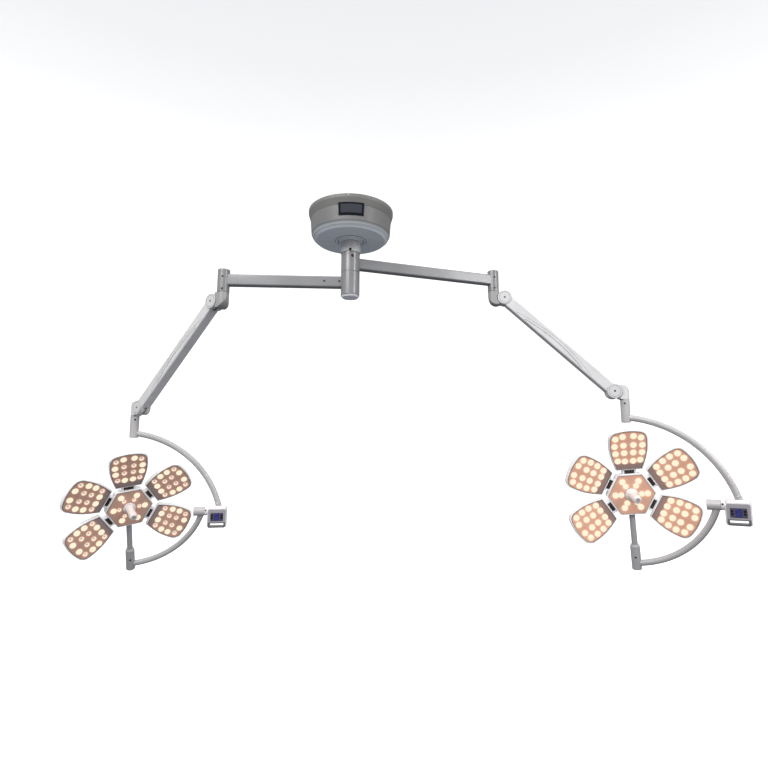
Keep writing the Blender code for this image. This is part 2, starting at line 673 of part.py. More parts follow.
# ---------------------------------------------------------------- placing
def frame(name, parent, location=(0, 0, 0), turn=(0, 0, 0)):
    """An empty on a joint's axis; turn is in degrees."""
    item = bpy.data.objects.new(name, None)
    item.empty_display_size = 0.05
    item.parent = parent
    item.location = location
    item.rotation_euler = [math.radians(angle) for angle in turn]
    parts.objects.link(item)
    return item


def finish(name, colour, roughness, metallic):
    material = bpy.data.materials.new(name + "_finish")
    material.use_nodes = True
    shader = material.node_tree.nodes["Principled BSDF"]
    shader.inputs["Base Color"].default_value = (*colour, 1.0)
    shader.inputs["Roughness"].default_value = roughness
    shader.inputs["Metallic"].default_value = metallic
    material.diffuse_color = (*colour, 1.0)
    return material


def place(name, mesh, parent, look, location=(0, 0, 0), turn=(0, 0, 0)):
    """Add one sub-part with its own copy of the mesh and its own material."""
    own = mesh.copy()
    own.name = name
    own.shade_smooth()
    own.set_sharp_from_angle(angle=math.radians(32))
    own.materials.clear()
    own.materials.append(finish(name, *look))
    item = bpy.data.objects.new(name, own)
    item.parent = parent
    item.location = location
    item.rotation_euler = [math.radians(angle) for angle in turn]
    parts.objects.link(item)
    return item


def build_ceiling():
    base = frame("ceiling_axis", None)
    place("ceiling_plate", ceiling_plate(), base, STEEL)
    place("canopy_shell", canopy_shell(), base, CANOPY_GREY)
    place("canopy_lower_cover", canopy_lower_cover(), base, COVER_GREY)
    place("spindle", spindle(), base, ARM_GREY)
    place("spindle_end_cap", spindle_end_cap(), base, ARM_GREY)
    height = -PLATE_THICKNESS - GAP - POWER_SUPPLY_SIZE[2] / 2
    place("power_supply", power_supply(), base, STEEL, (-0.140, 0, height))
    return base


def build_side(side, base, shapes):
    """One arm system with its head, as a chain of frames on the joint axes."""
    size = SIDES[side]
    hub = frame(side + "_hub_axis", base, (0, 0, size["arm_height"]), (0, 0, size["arm_heading"]))
    arm = extension_arm(size["arm_length"], size["hub"], size["arm_height"])
    place("extension_arm_" + side, arm, hub, ARM_GREY)

    heading = size["spring_heading"] - size["arm_heading"]
    elbow = frame(side + "_elbow_axis", hub, (size["arm_length"], 0, -HOUSING_BELOW), (0, 0, heading))
    place("upper_knuckle_" + side, shapes["upper_knuckle"], elbow, ARM_GREY)

    pivot = frame(side + "_arm_pivot", elbow, (KNUCKLE_REACH, 0, -KNUCKLE_DROP), (0, size["slope"], 0))
    place("spring_arm_" + side, shapes["spring_arm"], pivot, ARM_WHITE)
    place("balance_spring_" + side, shapes["balance_spring"], pivot, STEEL)

    level = frame(side + "_level_pivot", pivot, (SPRING_ARM_LENGTH, 0, 0), (0, -size["slope"], 0))
    place("lower_knuckle_" + side, shapes["lower_knuckle"], level, ARM_WHITE)

    heading = size["bow_heading"] - size["spring_heading"]
    swivel = frame(side + "_swivel_axis", level, (LEVEL_REACH, 0, -LEVEL_DROP), (0, 0, heading))
    place("upper_bow_" + side, shapes["upper_bow"], swivel, SHELL_WHITE)

    gimbal = frame(side + "_gimbal_centre", swivel, (0, 0, -SWIVEL_LENGTH - GIMBAL_DROP))
    place("control_housing_" + side, shapes["control_housing"], gimbal, SHELL_WHITE)
    place("display_panel_" + side, shapes["display_panel"], gimbal, SCREEN)
    for number, (x, z) in enumerate(button_places(), 1):
        front = -CONTROL_THICKNESS / 2 - BUTTON_PROUD
        place(f"button_{number}_{side}", shapes["button"], gimbal, BLACK, (x, front, z))

    tilt = frame(side + "_tilt_axis", gimbal, turn=(size["tilt"], 0, 0))
    place("lower_bow_" + side, shapes["lower_bow"], tilt, SHELL_WHITE)

    head = frame(side + "_stem_axis", tilt, turn=(0, 0, size["turn"]))
    place("stem_" + side, shapes["stem"], head, STEM_GREY)
    place("centre_housing_" + side, shapes["centre_housing"], head, SHELL_WHITE)
    place("centre_front_" + side, shapes["centre_front"], head, LIGHT_PANEL)
    place("handle_" + side, shapes["handle"], head, SHELL_WHITE, (0, HEAD_FRONT, HEAD_RISE))
    for petal, angle in zip(PETAL_NAMES, PETAL_ANGLES):
        where = dict(location=(0, 0, HEAD_RISE), turn=(0, -angle, 0))
        place(f"petal_shell_{petal}_{side}", shapes["petal_shell"], head, SHELL_WHITE, **where)
        place(f"petal_front_{petal}_{side}", shapes["petal_front"], head, LIGHT_PANEL, **where)


clear_scene()
parts = add_collection("surgical_light")
cutters = add_collection("cutters")
SHAPES = (upper_knuckle, spring_arm, balance_spring, lower_knuckle, upper_bow, control_housing,
          display_panel, button, lower_bow, stem, centre_housing, centre_front, handle,
          petal_shell, petal_front)
shared_shapes = {shape.__name__: shape() for shape in SHAPES}
ceiling_base = build_ceiling()
for side_name in SIDES:
    build_side(side_name, ceiling_base, shared_shapes)
bpy.context.view_layer.update()
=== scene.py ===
import json
import math

import bmesh
import bpy
from mathutils import Matrix, Vector


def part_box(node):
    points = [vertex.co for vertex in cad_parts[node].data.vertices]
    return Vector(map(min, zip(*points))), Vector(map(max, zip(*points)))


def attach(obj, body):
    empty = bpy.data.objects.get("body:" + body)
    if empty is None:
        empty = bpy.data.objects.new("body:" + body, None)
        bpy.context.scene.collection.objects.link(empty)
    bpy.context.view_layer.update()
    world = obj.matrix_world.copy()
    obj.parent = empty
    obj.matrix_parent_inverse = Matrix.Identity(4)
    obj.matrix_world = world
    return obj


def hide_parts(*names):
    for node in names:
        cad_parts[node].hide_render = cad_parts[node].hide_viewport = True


# Looks of the ceiling-mounted surgical light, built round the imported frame.  Every shape is
# made in the frame of the joint that it belongs to, in metres, and then put in its place.

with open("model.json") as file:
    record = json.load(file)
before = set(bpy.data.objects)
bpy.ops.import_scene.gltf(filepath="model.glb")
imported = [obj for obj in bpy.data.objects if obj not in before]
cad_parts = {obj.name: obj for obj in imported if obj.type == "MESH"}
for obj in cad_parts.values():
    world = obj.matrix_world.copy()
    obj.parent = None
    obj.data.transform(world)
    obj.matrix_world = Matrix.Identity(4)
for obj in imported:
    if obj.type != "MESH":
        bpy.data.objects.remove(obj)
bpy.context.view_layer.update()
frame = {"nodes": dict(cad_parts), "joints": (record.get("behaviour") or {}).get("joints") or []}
JOINTS = {joint["name"]: joint for joint in frame["joints"]}
UP = Vector((0, 0, 1))
SIDES = ("left", "right")

# ------------------------------------------------------------------ dimensions (metres)
GAP = 0.0003
STEPS = 96                                  # facets round a turned piece

PLATE_THICKNESS = 0.012
CANOPY_TOP_RADIUS = 0.2295
CANOPY_STEP = (0.052, 0.2255)               # depth, radius
CANOPY_SHOULDER = (0.131, 0.2125)
CANOPY_FLOOR = (0.163, 0.186)
SLEEVE_RADIUS = 0.0535
SLEEVE_END = -0.2330
HUB_RADIUS = 0.0504
HUBS = {"right": (-0.2330, -0.3406), "left": (-0.3406, -0.4694)}
SHAFT_RADIUS = 0.030
BOLT_CIRCLE = 0.125

ARM_HEIGHT = 0.061
ARM_WIDTH = 0.042
HOUSING_RADIUS = 0.032
HOUSING_ABOVE = 0.057
HOUSING_BELOW = 0.068

BEAM_LENGTH = 0.806
BEAM_HEIGHT = 0.062
BEAM_WIDTH = 0.056
HEAD_RADIUS = 0.0410                        # round ends of the spring arm
CUP_RADIUS = 0.0425
KNUCKLE_REACH = 0.0616
KNUCKLE_DROP = 0.0424
LEVEL_REACH = 0.0582
LEVEL_DROP = 0.0447
TONGUE = (0.018, 0.026)                     # thickness, radius

SWIVEL_LENGTH = 0.1278
SWIVEL_RADIUS = 0.0243
GIMBAL_DROP = 0.4267
BOW_TUBE_RADIUS = 0.0165
UPPER_BOW = ((-0.070, -0.125), 0.583)       # centre from the gimbal centre, radius
LOWER_BOW = ((-0.045, 0.117), 0.4602)
BARREL = (0.352, 0.413, 0.026)              # start, end, radius
CONTROL_X = (0.430, 0.541)
CONTROL_Z = (-0.096, 0.0286)
CONTROL_THICKNESS = 0.056
GRIP_SLOT = (0.080, 0.0165, -0.0775)        # width, height, middle
DISPLAY = (0.0726, 0.0480, -0.0335)         # width, height, middle
SOCKET = (-0.2352, -0.3743, 0.0245)         # top, bottom, radius
STEM_RADIUS = 0.015

HEAD_RISE = 0.0448
HEAD_FRONT = -0.0298
HEAD_DEPTH = 0.0658
HEXAGON_RADIUS = 0.1265
NECK_SLOT = (0.0129, 0.0200)                # middle outside the hexagon's flat, length
PETALS = {"upper_outer": 150, "top": 90, "upper_inner": 30, "lower_inner": -30, "lower_outer": -150}
PETAL_DISH = 10.4
PETAL_HINGE = 0.130
PETAL_SIDE = ((0.141, 0.0626), (0.186, 0.0780), (0.230, 0.0886), (0.273, 0.0925), (0.312, 0.0915))
PETAL_TIP = 0.351
PETAL_CORNER = 0.040
HANDLE_LENGTH = 0.111

# LED rows of a petal: (distance, sideways) of the outer pair, then of the inner pair
LED_ROWS = (
    ((0.1876, 0.0564), (0.1842, 0.0209)),
    ((0.2294, 0.0667), (0.2315, 0.0229)),
    ((0.2705, 0.0698), (0.2737, 0.0249)),
    ((0.3116, 0.0642), (0.3228, 0.0274)),
)
LENS_RADIUS = 0.0171
HEX_LEDS = ((0.0815, 0.0172), (0.0520, 0.0158))     # distance, lens radius


# ------------------------------------------------------------------ mesh tools
def working_object(data):
    item = bpy.data.objects.new("construction", data)
    bpy.context.scene.collection.objects.link(item)
    return item


def bake(item):
    """The finished mesh of a construction object, which is then removed."""
    bpy.context.view_layer.update()
    evaluated = item.evaluated_get(bpy.context.evaluated_depsgraph_get())
    mesh = bpy.data.meshes.new_from_object(evaluated)
    bpy.data.objects.remove(item)
    return mesh


def clean(mesh, distance=1e-5):
    shape = bmesh.new()
    shape.from_mesh(mesh)
    bmesh.ops.remove_doubles(shape, verts=shape.verts, dist=distance)
    bmesh.ops.recalc_face_normals(shape, faces=shape.faces)
    shape.to_mesh(mesh)
    shape.free()
    return mesh


def boolean(operation, base, *others):
    item = working_object(base)
    tools = [working_object(other) for other in others]
    for tool in tools:
        modifier = item.modifiers.new("boolean", "BOOLEAN")
        modifier.operation = operation
        modifier.solver = "EXACT"
        modifier.object = tool
    mesh = bake(item)
    for tool in tools:
        bpy.data.objects.remove(tool)
    return clean(mesh)


def union(base, *others):
    return boolean("UNION", base, *others)


def cut(base, *others):
    return boolean("DIFFERENCE", base, *others)


def bevelled(mesh, width, segments=3, angle=30):
    item = working_object(mesh)
    bevel = item.modifiers.new("bevel", "BEVEL")
    bevel.width = width
    bevel.segments = segments
    bevel.limit_method = "ANGLE"
    bevel.angle_limit = math.radians(angle)
    return bake(item)


def moved(mesh, offset=(0, 0, 0), about="Z", degrees=0.0):
    mesh.transform(Matrix.Translation(offset) @ Matrix.Rotation(math.radians(degrees), 4, about))
    return mesh


def box(size, centre=(0, 0, 0), radius=0.0, segments=4):
    shape = bmesh.new()
    bmesh.ops.create_cube(shape, size=1.0)
    bmesh.ops.scale(shape, vec=size, verts=shape.verts)
    bmesh.ops.translate(shape, vec=centre, verts=shape.verts)
    mesh = bpy.data.meshes.new("box")
    shape.to_mesh(mesh)
    shape.free()
    return bevelled(mesh, radius, segments) if radius else mesh


def cylinder(radius, start, end, axis="Z", segments=64, centre=(0, 0, 0), bevel=0.0):
    shape = bmesh.new()
    bmesh.ops.create_cone(shape, cap_ends=True, segments=segments, radius1=radius,
                          radius2=radius, depth=end - start)
    bmesh.ops.translate(shape, vec=(0, 0, (start + end) / 2), verts=shape.verts)
    mesh = bpy.data.meshes.new("cylinder")
    shape.to_mesh(mesh)
    shape.free()
    if axis == "X":
        mesh.transform(Matrix.Rotation(math.pi / 2, 4, "Y"))
    if axis == "Y":
        mesh.transform(Matrix.Rotation(-math.pi / 2, 4, "X"))
    mesh.transform(Matrix.Translation(centre))
    return bevelled(mesh, bevel, 3) if bevel else mesh


def rounded(points, closed=False):
    """Corner points (x, y, fillet radius) turned into a line with filleted corners."""
    count = len(points)
    line = []
    for index, point in enumerate(points):
        here = Vector(point[:2])
        radius = point[2] if len(point) > 2 else 0.0
        inside = closed or 0 < index < count - 1
        if not inside or radius == 0.0:
            line.append(tuple(here))
            continue
        before = (Vector(points[index - 1][:2]) - here)
        after = (Vector(points[(index + 1) % count][:2]) - here)
        angle = before.angle(after)
        reach = min(radius / math.tan(angle / 2), 0.49 * before.length, 0.49 * after.length)
        first = here + before.normalized() * reach
        last = here + after.normalized() * reach
        for step in range(6):
            t = step / 5
            line.append(tuple(first * (1 - t) ** 2 + here * 2 * t * (1 - t) + last * t ** 2))
    return line


def turned(profile, closed=False, steps=STEPS):
    """A turned piece from (radius, height, fillet) points that run down its outer side."""
    line = rounded(profile, closed)
    mesh = bpy.data.meshes.new("profile")
    edges = [(i, i + 1) for i in range(len(line) - 1)]
    if closed:
        edges.append((len(line) - 1, 0))
    mesh.from_pydata([(radius, 0, height) for radius, height in line], edges, [])
    item = working_object(mesh)
    screw = item.modifiers.new("turned", "SCREW")
    screw.axis = "Z"
    screw.steps = screw.render_steps = steps
    screw.use_merge_vertices = True
    screw.merge_threshold = 0.00001
    return clean(bake(item))


def prism(outline, thickness, bevel=0.0, segments=3):
    """A flat piece in the XZ plane from an (x, z) outline, centred on y = 0."""
    shape = bmesh.new()
    corners = [shape.verts.new((x, -thickness / 2, z)) for x, z in outline]
    face = shape.faces.new(corners)
    wall = bmesh.ops.extrude_face_region(shape, geom=[face])
    far = [item for item in wall["geom"] if isinstance(item, bmesh.types.BMVert)]
    bmesh.ops.translate(shape, vec=(0, thickness, 0), verts=far)
    bmesh.ops.recalc_face_normals(shape, faces=shape.faces)
    mesh = bpy.data.meshes.new("prism")
    shape.to_mesh(mesh)
    shape.free()
    return bevelled(mesh, bevel, segments, 40) if bevel else mesh


def tube(points, radius, resolution=6, closed=False):
    """A round tube with closed ends along a row of points."""
    curve = bpy.data.curves.new("tube", "CURVE")
    curve.dimensions = "3D"
    curve.bevel_depth = radius
    curve.bevel_resolution = resolution
    curve.use_fill_caps = True
    spline = curve.splines.new("POLY")
    spline.points.add(len(points) - 1)
    for point, place in zip(spline.points, points):
        point.co = (*place, 1)
    spline.use_cyclic_u = closed
    return clean(bake(working_object(curve)))


def arc(centre, radius, start, end, count):
    angles = [math.radians(start + (end - start) * i / (count - 1)) for i in range(count)]
    return [(centre[0] + radius * math.cos(a), centre[1] + radius * math.sin(a)) for a in angles]


def loft(outline, profile):
    """Closed shell of outlines: profile rows are (growth of the outline, depth along +Y)."""
    shape = bmesh.new()
    loops = []
    for grow, depth in profile:
        loops.append([shape.verts.new((x, depth, z)) for x, z in outline(grow)])
    for first, second in zip(loops, loops[1:]):
        count = len(first)
        for i in range(count):
            j = (i + 1) % count
            shape.faces.new((first[i], first[j], second[j], second[i]))
    shape.faces.new(loops[0])
    shape.faces.new(loops[-1])
    bmesh.ops.recalc_face_normals(shape, faces=shape.faces)
    mesh = bpy.data.meshes.new("loft")
    shape.to_mesh(mesh)
    shape.free()
    return mesh


def joined(*meshes):
    """Several meshes as the loose parts of one."""
    shape = bmesh.new()
    for mesh in meshes:
        shape.from_mesh(mesh)
    result = bpy.data.meshes.new("joined")
    shape.to_mesh(result)
    shape.free()
    return result


# ------------------------------------------------------------------ materials
def material(name):
    result = bpy.data.materials.new(name)
    result.use_nodes = True
    return result, result.node_tree, result.node_tree.nodes["Principled BSDF"]


def add(tree, kind, **values):
    node = tree.nodes.new(kind)
    for key, value in values.items():
        setattr(node, key, value)
    return node


def noise(tree, scale, detail=3.0, stretch=(1, 1, 1)):
    """Noise in the piece's own metres."""
    coordinates = add(tree, "ShaderNodeTexCoord")
    mapping = add(tree, "ShaderNodeMapping")
    mapping.inputs["Scale"].default_value = stretch
    texture = add(tree, "ShaderNodeTexNoise")
    texture.inputs["Scale"].default_value = scale
    texture.inputs["Detail"].default_value = detail
    tree.links.new(coordinates.outputs["Object"], mapping.inputs["Vector"])
    tree.links.new(mapping.outputs["Vector"], texture.inputs["Vector"])
    return texture.outputs["Fac"]


def ranged(tree, source, low, high, start=0.0, end=1.0):
    node = add(tree, "ShaderNodeMapRange")
    node.inputs["From Min"].default_value = start
    node.inputs["From Max"].default_value = end
    node.inputs["To Min"].default_value = low
    node.inputs["To Max"].default_value = high
    tree.links.new(source, node.inputs["Value"])
    return node.outputs["Result"]


def blended(tree, factor, first, second, mode="MIX"):
    """Mix two colours; each is a colour or another node's output."""
    node = add(tree, "ShaderNodeMix", data_type="RGBA", blend_type=mode)
    if isinstance(factor, float):
        node.inputs["Factor"].default_value = factor
    else:
        tree.links.new(factor, node.inputs["Factor"])
    for socket, value in ((node.inputs[6], first), (node.inputs[7], second)):
        if isinstance(value, tuple):
            socket.default_value = (*value, 1.0)
        else:
            tree.links.new(value, socket)
    return node.outputs[2]


def tinted(colour, amount):
    return tuple(min(1.0, channel * amount) for channel in colour)


def surface(name, colour, roughness=0.4, metallic=0.0, grain=900.0, relief=0.04, spread=0.06,
            coat=0.0, wear=0.12, level=0.5):
    """Paint or moulded plastic: faint blotches, orange peel and slightly rubbed edges."""
    result, tree, shader = material(name)
    blotches = ranged(tree, noise(tree, 7.0), 0.0, 1.0, 0.35, 0.65)
    base = blended(tree, blotches, tinted(colour, 1 - spread), tinted(colour, 1 + spread))
    edges = add(tree, "ShaderNodeNewGeometry").outputs["Pointiness"]
    rubbed = ranged(tree, edges, 0.0, wear, 0.52, 0.62)
    base = blended(tree, rubbed, base, tinted(colour, 1.35))
    tree.links.new(base, shader.inputs["Base Color"])
    streaks = noise(tree, 45.0, 4.0)
    tree.links.new(ranged(tree, streaks, roughness - 0.05, roughness + 0.07), shader.inputs["Roughness"])
    bump = add(tree, "ShaderNodeBump")
    bump.inputs["Strength"].default_value = relief
    bump.inputs["Distance"].default_value = 0.0006
    tree.links.new(noise(tree, grain, 2.0), bump.inputs["Height"])
    tree.links.new(bump.outputs["Normal"], shader.inputs["Normal"])
    shader.inputs["Metallic"].default_value = metallic
    shader.inputs["Coat Weight"].default_value = coat
    shader.inputs["Coat Roughness"].default_value = 0.12
    shader.inputs["Specular IOR Level"].default_value = level
    return result


def brushed(name, colour, roughness=0.35):
    """Machined metal with fine lathe marks."""
    result, tree, shader = material(name)
    marks = noise(tree, 420.0, 3.0, (1.0, 1.0, 0.05))
    tree.links.new(blended(tree, marks, tinted(colour, 0.8), tinted(colour, 1.15)), shader.inputs["Base Color"])
    tree.links.new(ranged(tree, marks, roughness - 0.1, roughness + 0.1), shader.inputs["Roughness"])
    shader.inputs["Metallic"].default_value = 1.0
    return result


def canopy_paint():
    """Grey paint with painted light on the flat underside: towards it the colour turns lighter and bluer, as if lit
    from below.
    """
    result = surface("canopy_cover_paint_with_painted_underside_light", (0.150, 0.151, 0.147), 0.55, grain=700.0, coat=0.05)
    tree = result.node_tree
    shader = tree.nodes["Principled BSDF"]
    base = shader.inputs["Base Color"].links[0].from_socket
    height = add(tree, "ShaderNodeSeparateXYZ")
    tree.links.new(add(tree, "ShaderNodeTexCoord").outputs["Object"], height.inputs["Vector"])
    # painted light: blend from the grey paint to a light blue-grey over the underside
    low = ranged(tree, height.outputs["Z"], 1.0, 0.0, -0.1632, -0.132)
    tree.links.new(blended(tree, low, base, (0.80, 0.85, 0.90)), shader.inputs["Base Color"])
    return result


def panel_material(name, plain, lit, strength):
    """Tinted reflector sheet: the stretch between the LEDs is lit, the inner strip is not."""
    result, tree, shader = material(name)
    glow = add(tree, "ShaderNodeAttribute", attribute_name="glow").outputs["Fac"]
    cells = noise(tree, 160.0, 2.0)
    near = ranged(tree, cells, 0.85, 1.15)
    dull = blended(tree, ranged(tree, noise(tree, 30.0), 0.0, 1.0), tinted(plain, 0.92), tinted(plain, 1.08))
    tree.links.new(blended(tree, glow, dull, lit), shader.inputs["Base Color"])
    shaded = add(tree, "ShaderNodeMath", operation="MULTIPLY")
    tree.links.new(glow, shaded.inputs[0])
    tree.links.new(near, shaded.inputs[1])
    tree.links.new(blended(tree, shaded.outputs[0], (0.0, 0.0, 0.0), lit), shader.inputs["Emission Color"])
    shader.inputs["Emission Strength"].default_value = strength
    shader.inputs["Roughness"].default_value = 0.38
    shader.inputs["Coat Weight"].default_value = 0.35
    shader.inputs["Coat Roughness"].default_value = 0.1
    return result


def lens_material(name, core, rim, strength, hollow=(0.03, 0.020, 0.016)):
    """Glowing lens: cream in the middle and warmer at the rim."""
    result, tree, shader = material(name)
    glow = add(tree, "ShaderNodeAttribute", attribute_name="glow").outputs["Fac"]
    ripple = ranged(tree, noise(tree, 500.0, 1.0), 0.92, 1.08)
    tone = add(tree, "ShaderNodeMath", operation="MULTIPLY")
    tree.links.new(glow, tone.inputs[0])
    tree.links.new(ripple, tone.inputs[1])
    colour = blended(tree, tone.outputs[0], rim, core)
    tree.links.new(colour, shader.inputs["Emission Color"])
    tree.links.new(blended(tree, tone.outputs[0], hollow, (0.03, 0.028, 0.024)), shader.inputs["Base Color"])
    shader.inputs["Emission Strength"].default_value = strength
    shader.inputs["Roughness"].default_value = 0.2
    return result


def screen_material():
    """Dark blue display with faint level bars."""
    result, tree, shader = material("display_screen")
    bars = add(tree, "ShaderNodeTexBrick")
    bars.inputs["Scale"].default_value = 1.0
    bars.inputs["Brick Width"].default_value = 0.0052
    bars.inputs["Row Height"].default_value = 0.0075
    bars.inputs["Mortar Size"].default_value = 0.0010
    bars.inputs["Color1"].default_value = (0.05, 0.06, 0.24, 1)
    bars.inputs["Color2"].default_value = (0.02, 0.02, 0.13, 1)
    bars.inputs["Mortar"].default_value = (0.012, 0.012, 0.075, 1)
    coordinates = add(tree, "ShaderNodeTexCoord")
    turn = add(tree, "ShaderNodeMapping")
    turn.inputs["Rotation"].default_value = (math.radians(90), 0, 0)
    tree.links.new(coordinates.outputs["Object"], turn.inputs["Vector"])
    tree.links.new(turn.outputs["Vector"], bars.inputs["Vector"])
    tree.links.new(bars.outputs["Color"], shader.inputs["Base Color"])
    tree.links.new(bars.outputs["Color"], shader.inputs["Emission Color"])
    shader.inputs["Emission Strength"].default_value = 0.25
    shader.inputs["Roughness"].default_value = 0.15
    return result


LOOKS = {
    "canopy_upper": surface("canopy_paint", (0.150, 0.150, 0.142), 0.55, grain=700.0, coat=0.05),
    "canopy_lower": canopy_paint(),
    "arm_grey": surface("hub_paint", (0.128, 0.128, 0.130), 0.60, level=0.3),
    # The sleeve's grey is made lighter than the hub's: painted light that offsets the canopy's shade on it.
    "sleeve_grey": surface("sleeve_paint_with_painted_light", (0.50, 0.50, 0.503), 0.50),
    # The end cap is made much lighter and bluer than grey: painted light from below on this downward-facing cap.
    "cap_grey": surface("end_cap_paint_with_painted_underside_light", (0.92, 0.96, 1.0), 0.4, coat=0.1),
    "arm_mid": surface("extension_arm_paint", (0.200, 0.200, 0.207), 0.34, coat=0.3),
    "knuckle": surface("knuckle_paint", (0.30, 0.297, 0.298), 0.42, coat=0.1),
    "arm_white": surface("spring_arm_paint", (0.60, 0.595, 0.597), 0.42, coat=0.1),
    "disc_white": surface("pivot_cover_plastic", (0.56, 0.555, 0.557), 0.45, spread=0.03, wear=0.0),
    "bow_white": surface("bow_paint", (0.44, 0.427, 0.431), 0.32, coat=0.2),
    "barrel_white": surface("barrel_plastic", (0.49, 0.465, 0.47), 0.34, coat=0.2),
    "stem_grey": surface("stem_paint", (0.365, 0.36, 0.37), 0.38, coat=0.1),
    "socket_grey": surface("socket_paint", (0.385, 0.375, 0.38), 0.42, coat=0.1, grain=1500.0, relief=0.12),
    "shell_white": surface("shell_plastic", (0.90, 0.89, 0.90), 0.28, coat=0.35, spread=0.02, wear=0.05),
    # The hinge slot's brown edge and near-black core are painted shade in the recess.
    "slot_dark": surface("slot_painted_shade", (0.030, 0.016, 0.013), 0.6),
    "slot_edge": surface("slot_edge_painted_shade", (0.17, 0.085, 0.065), 0.5),
    "handle_white": surface("handle_plastic", (0.80, 0.72, 0.70), 0.34, coat=0.2, relief=0.08),
    "handle_tip": surface("handle_tip_plastic", (0.36, 0.33, 0.34), 0.4),
    "case_white": surface("case_plastic", (0.80, 0.775, 0.78), 0.36, relief=0.07, grain=1400.0, coat=0.2),
    # The front frame's grey is partly its own colour and partly painted shade of the case front under top light.
    "bezel": surface("bezel_plastic_and_painted_shade", (0.285, 0.27, 0.295), 0.5, relief=0.1, grain=1600.0),
    "case_base": surface("case_base_plastic", (0.105, 0.098, 0.108), 0.5, relief=0.1, grain=1600.0),
    "window": surface("window_plastic", (0.060, 0.056, 0.085), 0.35, relief=0.01),
    "key_black": surface("key_rubber", (0.004, 0.004, 0.006), 0.6, level=0.2),
    "screw_black": surface("set_screw_steel", (0.010, 0.010, 0.011), 0.5, level=0.3),
    # Thin dark lines laid in grooves, gaps and parting lines: painted shade where the gaps are.
    "seam": surface("seam_painted_shade", (0.10, 0.10, 0.105), 0.6),
    "rim_line": surface("panel_rim", (0.19, 0.14, 0.12), 0.5),
    "seam_dark": surface("joint_shadow", (0.03, 0.03, 0.033), 0.6),
    "plate_blue": surface("rating_plate_enamel", (0.005, 0.005, 0.009), 0.7, level=0.1),
    "plate_field": surface("rating_plate_field", (0.045, 0.049, 0.060), 0.7, grain=300.0, relief=0.15, level=0.1),
    "steel": brushed("machined_steel", (0.50, 0.50, 0.51)),
    "dark_steel": brushed("dark_screw_steel", (0.10, 0.10, 0.105), 0.45),
    "zinc": brushed("plated_steel", (0.62, 0.61, 0.58), 0.4),
    "screen": screen_material(),
    "lens_flood": lens_material("flood_lens", (1.0, 0.92, 0.72), (1.0, 0.66, 0.38), 1.0),
    "lens_focus": lens_material("focus_lens", (1.0, 0.85, 0.66), (0.42, 0.15, 0.11), 1.0, (0.20, 0.08, 0.06)),
    "panel_right": panel_material("panel_right", (0.34, 0.225, 0.195), (0.78, 0.40, 0.26), 0.48),
    "panel_left": panel_material("panel_left", (0.32, 0.24, 0.225), (0.62, 0.34, 0.23), 0.26),
}


# ------------------------------------------------------------------ placing
def shaded(mesh, look, angle=32):
    """The mesh with its material, smooth shading, sharp creases and flat faces kept flat."""
    mesh.shade_smooth()
    mesh.set_sharp_from_angle(angle=math.radians(angle))
    item = working_object(mesh)
    weighted = item.modifiers.new("normals", "WEIGHTED_NORMAL")
    weighted.keep_sharp = True
    result = bake(item)
    result.materials.clear()
    result.materials.append(LOOKS[look])
    result["look"] = look
    return result


def piece(name, mesh, body, place=None, replaces=()):
    """One visible piece on its body.  Its mesh is moved to its place, except for a display,
    whose pattern is laid out in its own axes."""
    place = place or Matrix.Identity(4)
    own_axes = mesh["look"] == "screen"
    if not own_axes:
        look = mesh["look"]
        mesh = mesh.copy()
        mesh.transform(place)
        mesh["look"] = look
    item = bpy.data.objects.new(name, mesh)
    bpy.context.scene.collection.objects.link(item)
    if own_axes:
        item.matrix_world = place
    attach(item, body)
    if replaces:
        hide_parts(*replaces)
    return item


def axes(origin, x, z):
    """A square frame with this origin, +Z, and +X as near as it can be."""
    z = Vector(z).normalized()
    y = z.cross(Vector(x)).normalized()
    result = Matrix((y.cross(z), y, z)).transposed().to_4x4()
    result.translation = Vector(origin)
    return result


def point(joint):
    return Vector(JOINTS[joint]["pos_m"])


def axis(joint):
    return Vector(JOINTS[joint]["axis"])


def side_frames(side):
    """The frame of each joint of one arm system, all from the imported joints."""
    hub, elbow = point(f"hub_turn_{side}"), point(f"elbow_turn_{side}")
    lift, level = point(f"spring_arm_lift_{side}"), point(f"levelling_{side}")
    swivel, gimbal = point(f"bow_swivel_{side}"), point(f"bow_tilt_{side}")
    across = axis(f"bow_tilt_{side}")
    stem = axis(f"head_turn_{side}")
    facing = axis(f"handle_turn_{side}")
    return {
        "hub": axes(hub, elbow - hub, UP),
        "elbow": axes(elbow, lift - elbow, UP),
        "lift": axes(lift, level - lift, (level - lift).cross(axis(f"spring_arm_lift_{side}"))),
        "level": axes(level, swivel - level, UP),
        "swivel": axes(swivel, across, UP),
        "gimbal": axes(gimbal, across, UP),
        "tilt": axes(gimbal, across, stem),
        "head": axes(gimbal, stem.cross(facing), stem),
    }


def facing(place, direction, roll=(0, 0, 1)):
    """A frame whose +Z looks along direction, for a screw or a disc on a surface."""
    roll = Vector(roll)
    if abs(Vector(direction).normalized().dot(roll)) > 0.95:
        roll = Vector((1, 0, 0))
    return axes(place, roll, direction)


# ------------------------------------------------------------------ small parts
def grub_screw(radius):
    """Black set screw just proud of its hole, with a hexagon socket; +Z is outwards."""
    disc = turned([(0, 0.0012), (radius * 0.9, 0.0012, 0.0002), (radius * 1.15, 0.0005, 0.0002),
                   (radius * 1.15, -0.0020), (0, -0.0020)], steps=40)
    socket = prism(arc((0, 0), radius * 0.55, 0, 300, 6), 0.0018)
    socket.transform(Matrix.Rotation(math.pi / 2, 4, "X"))
    socket.transform(Matrix.Translation((0, 0, 0.0012)))
    return shaded(cut(disc, socket), "screw_black")


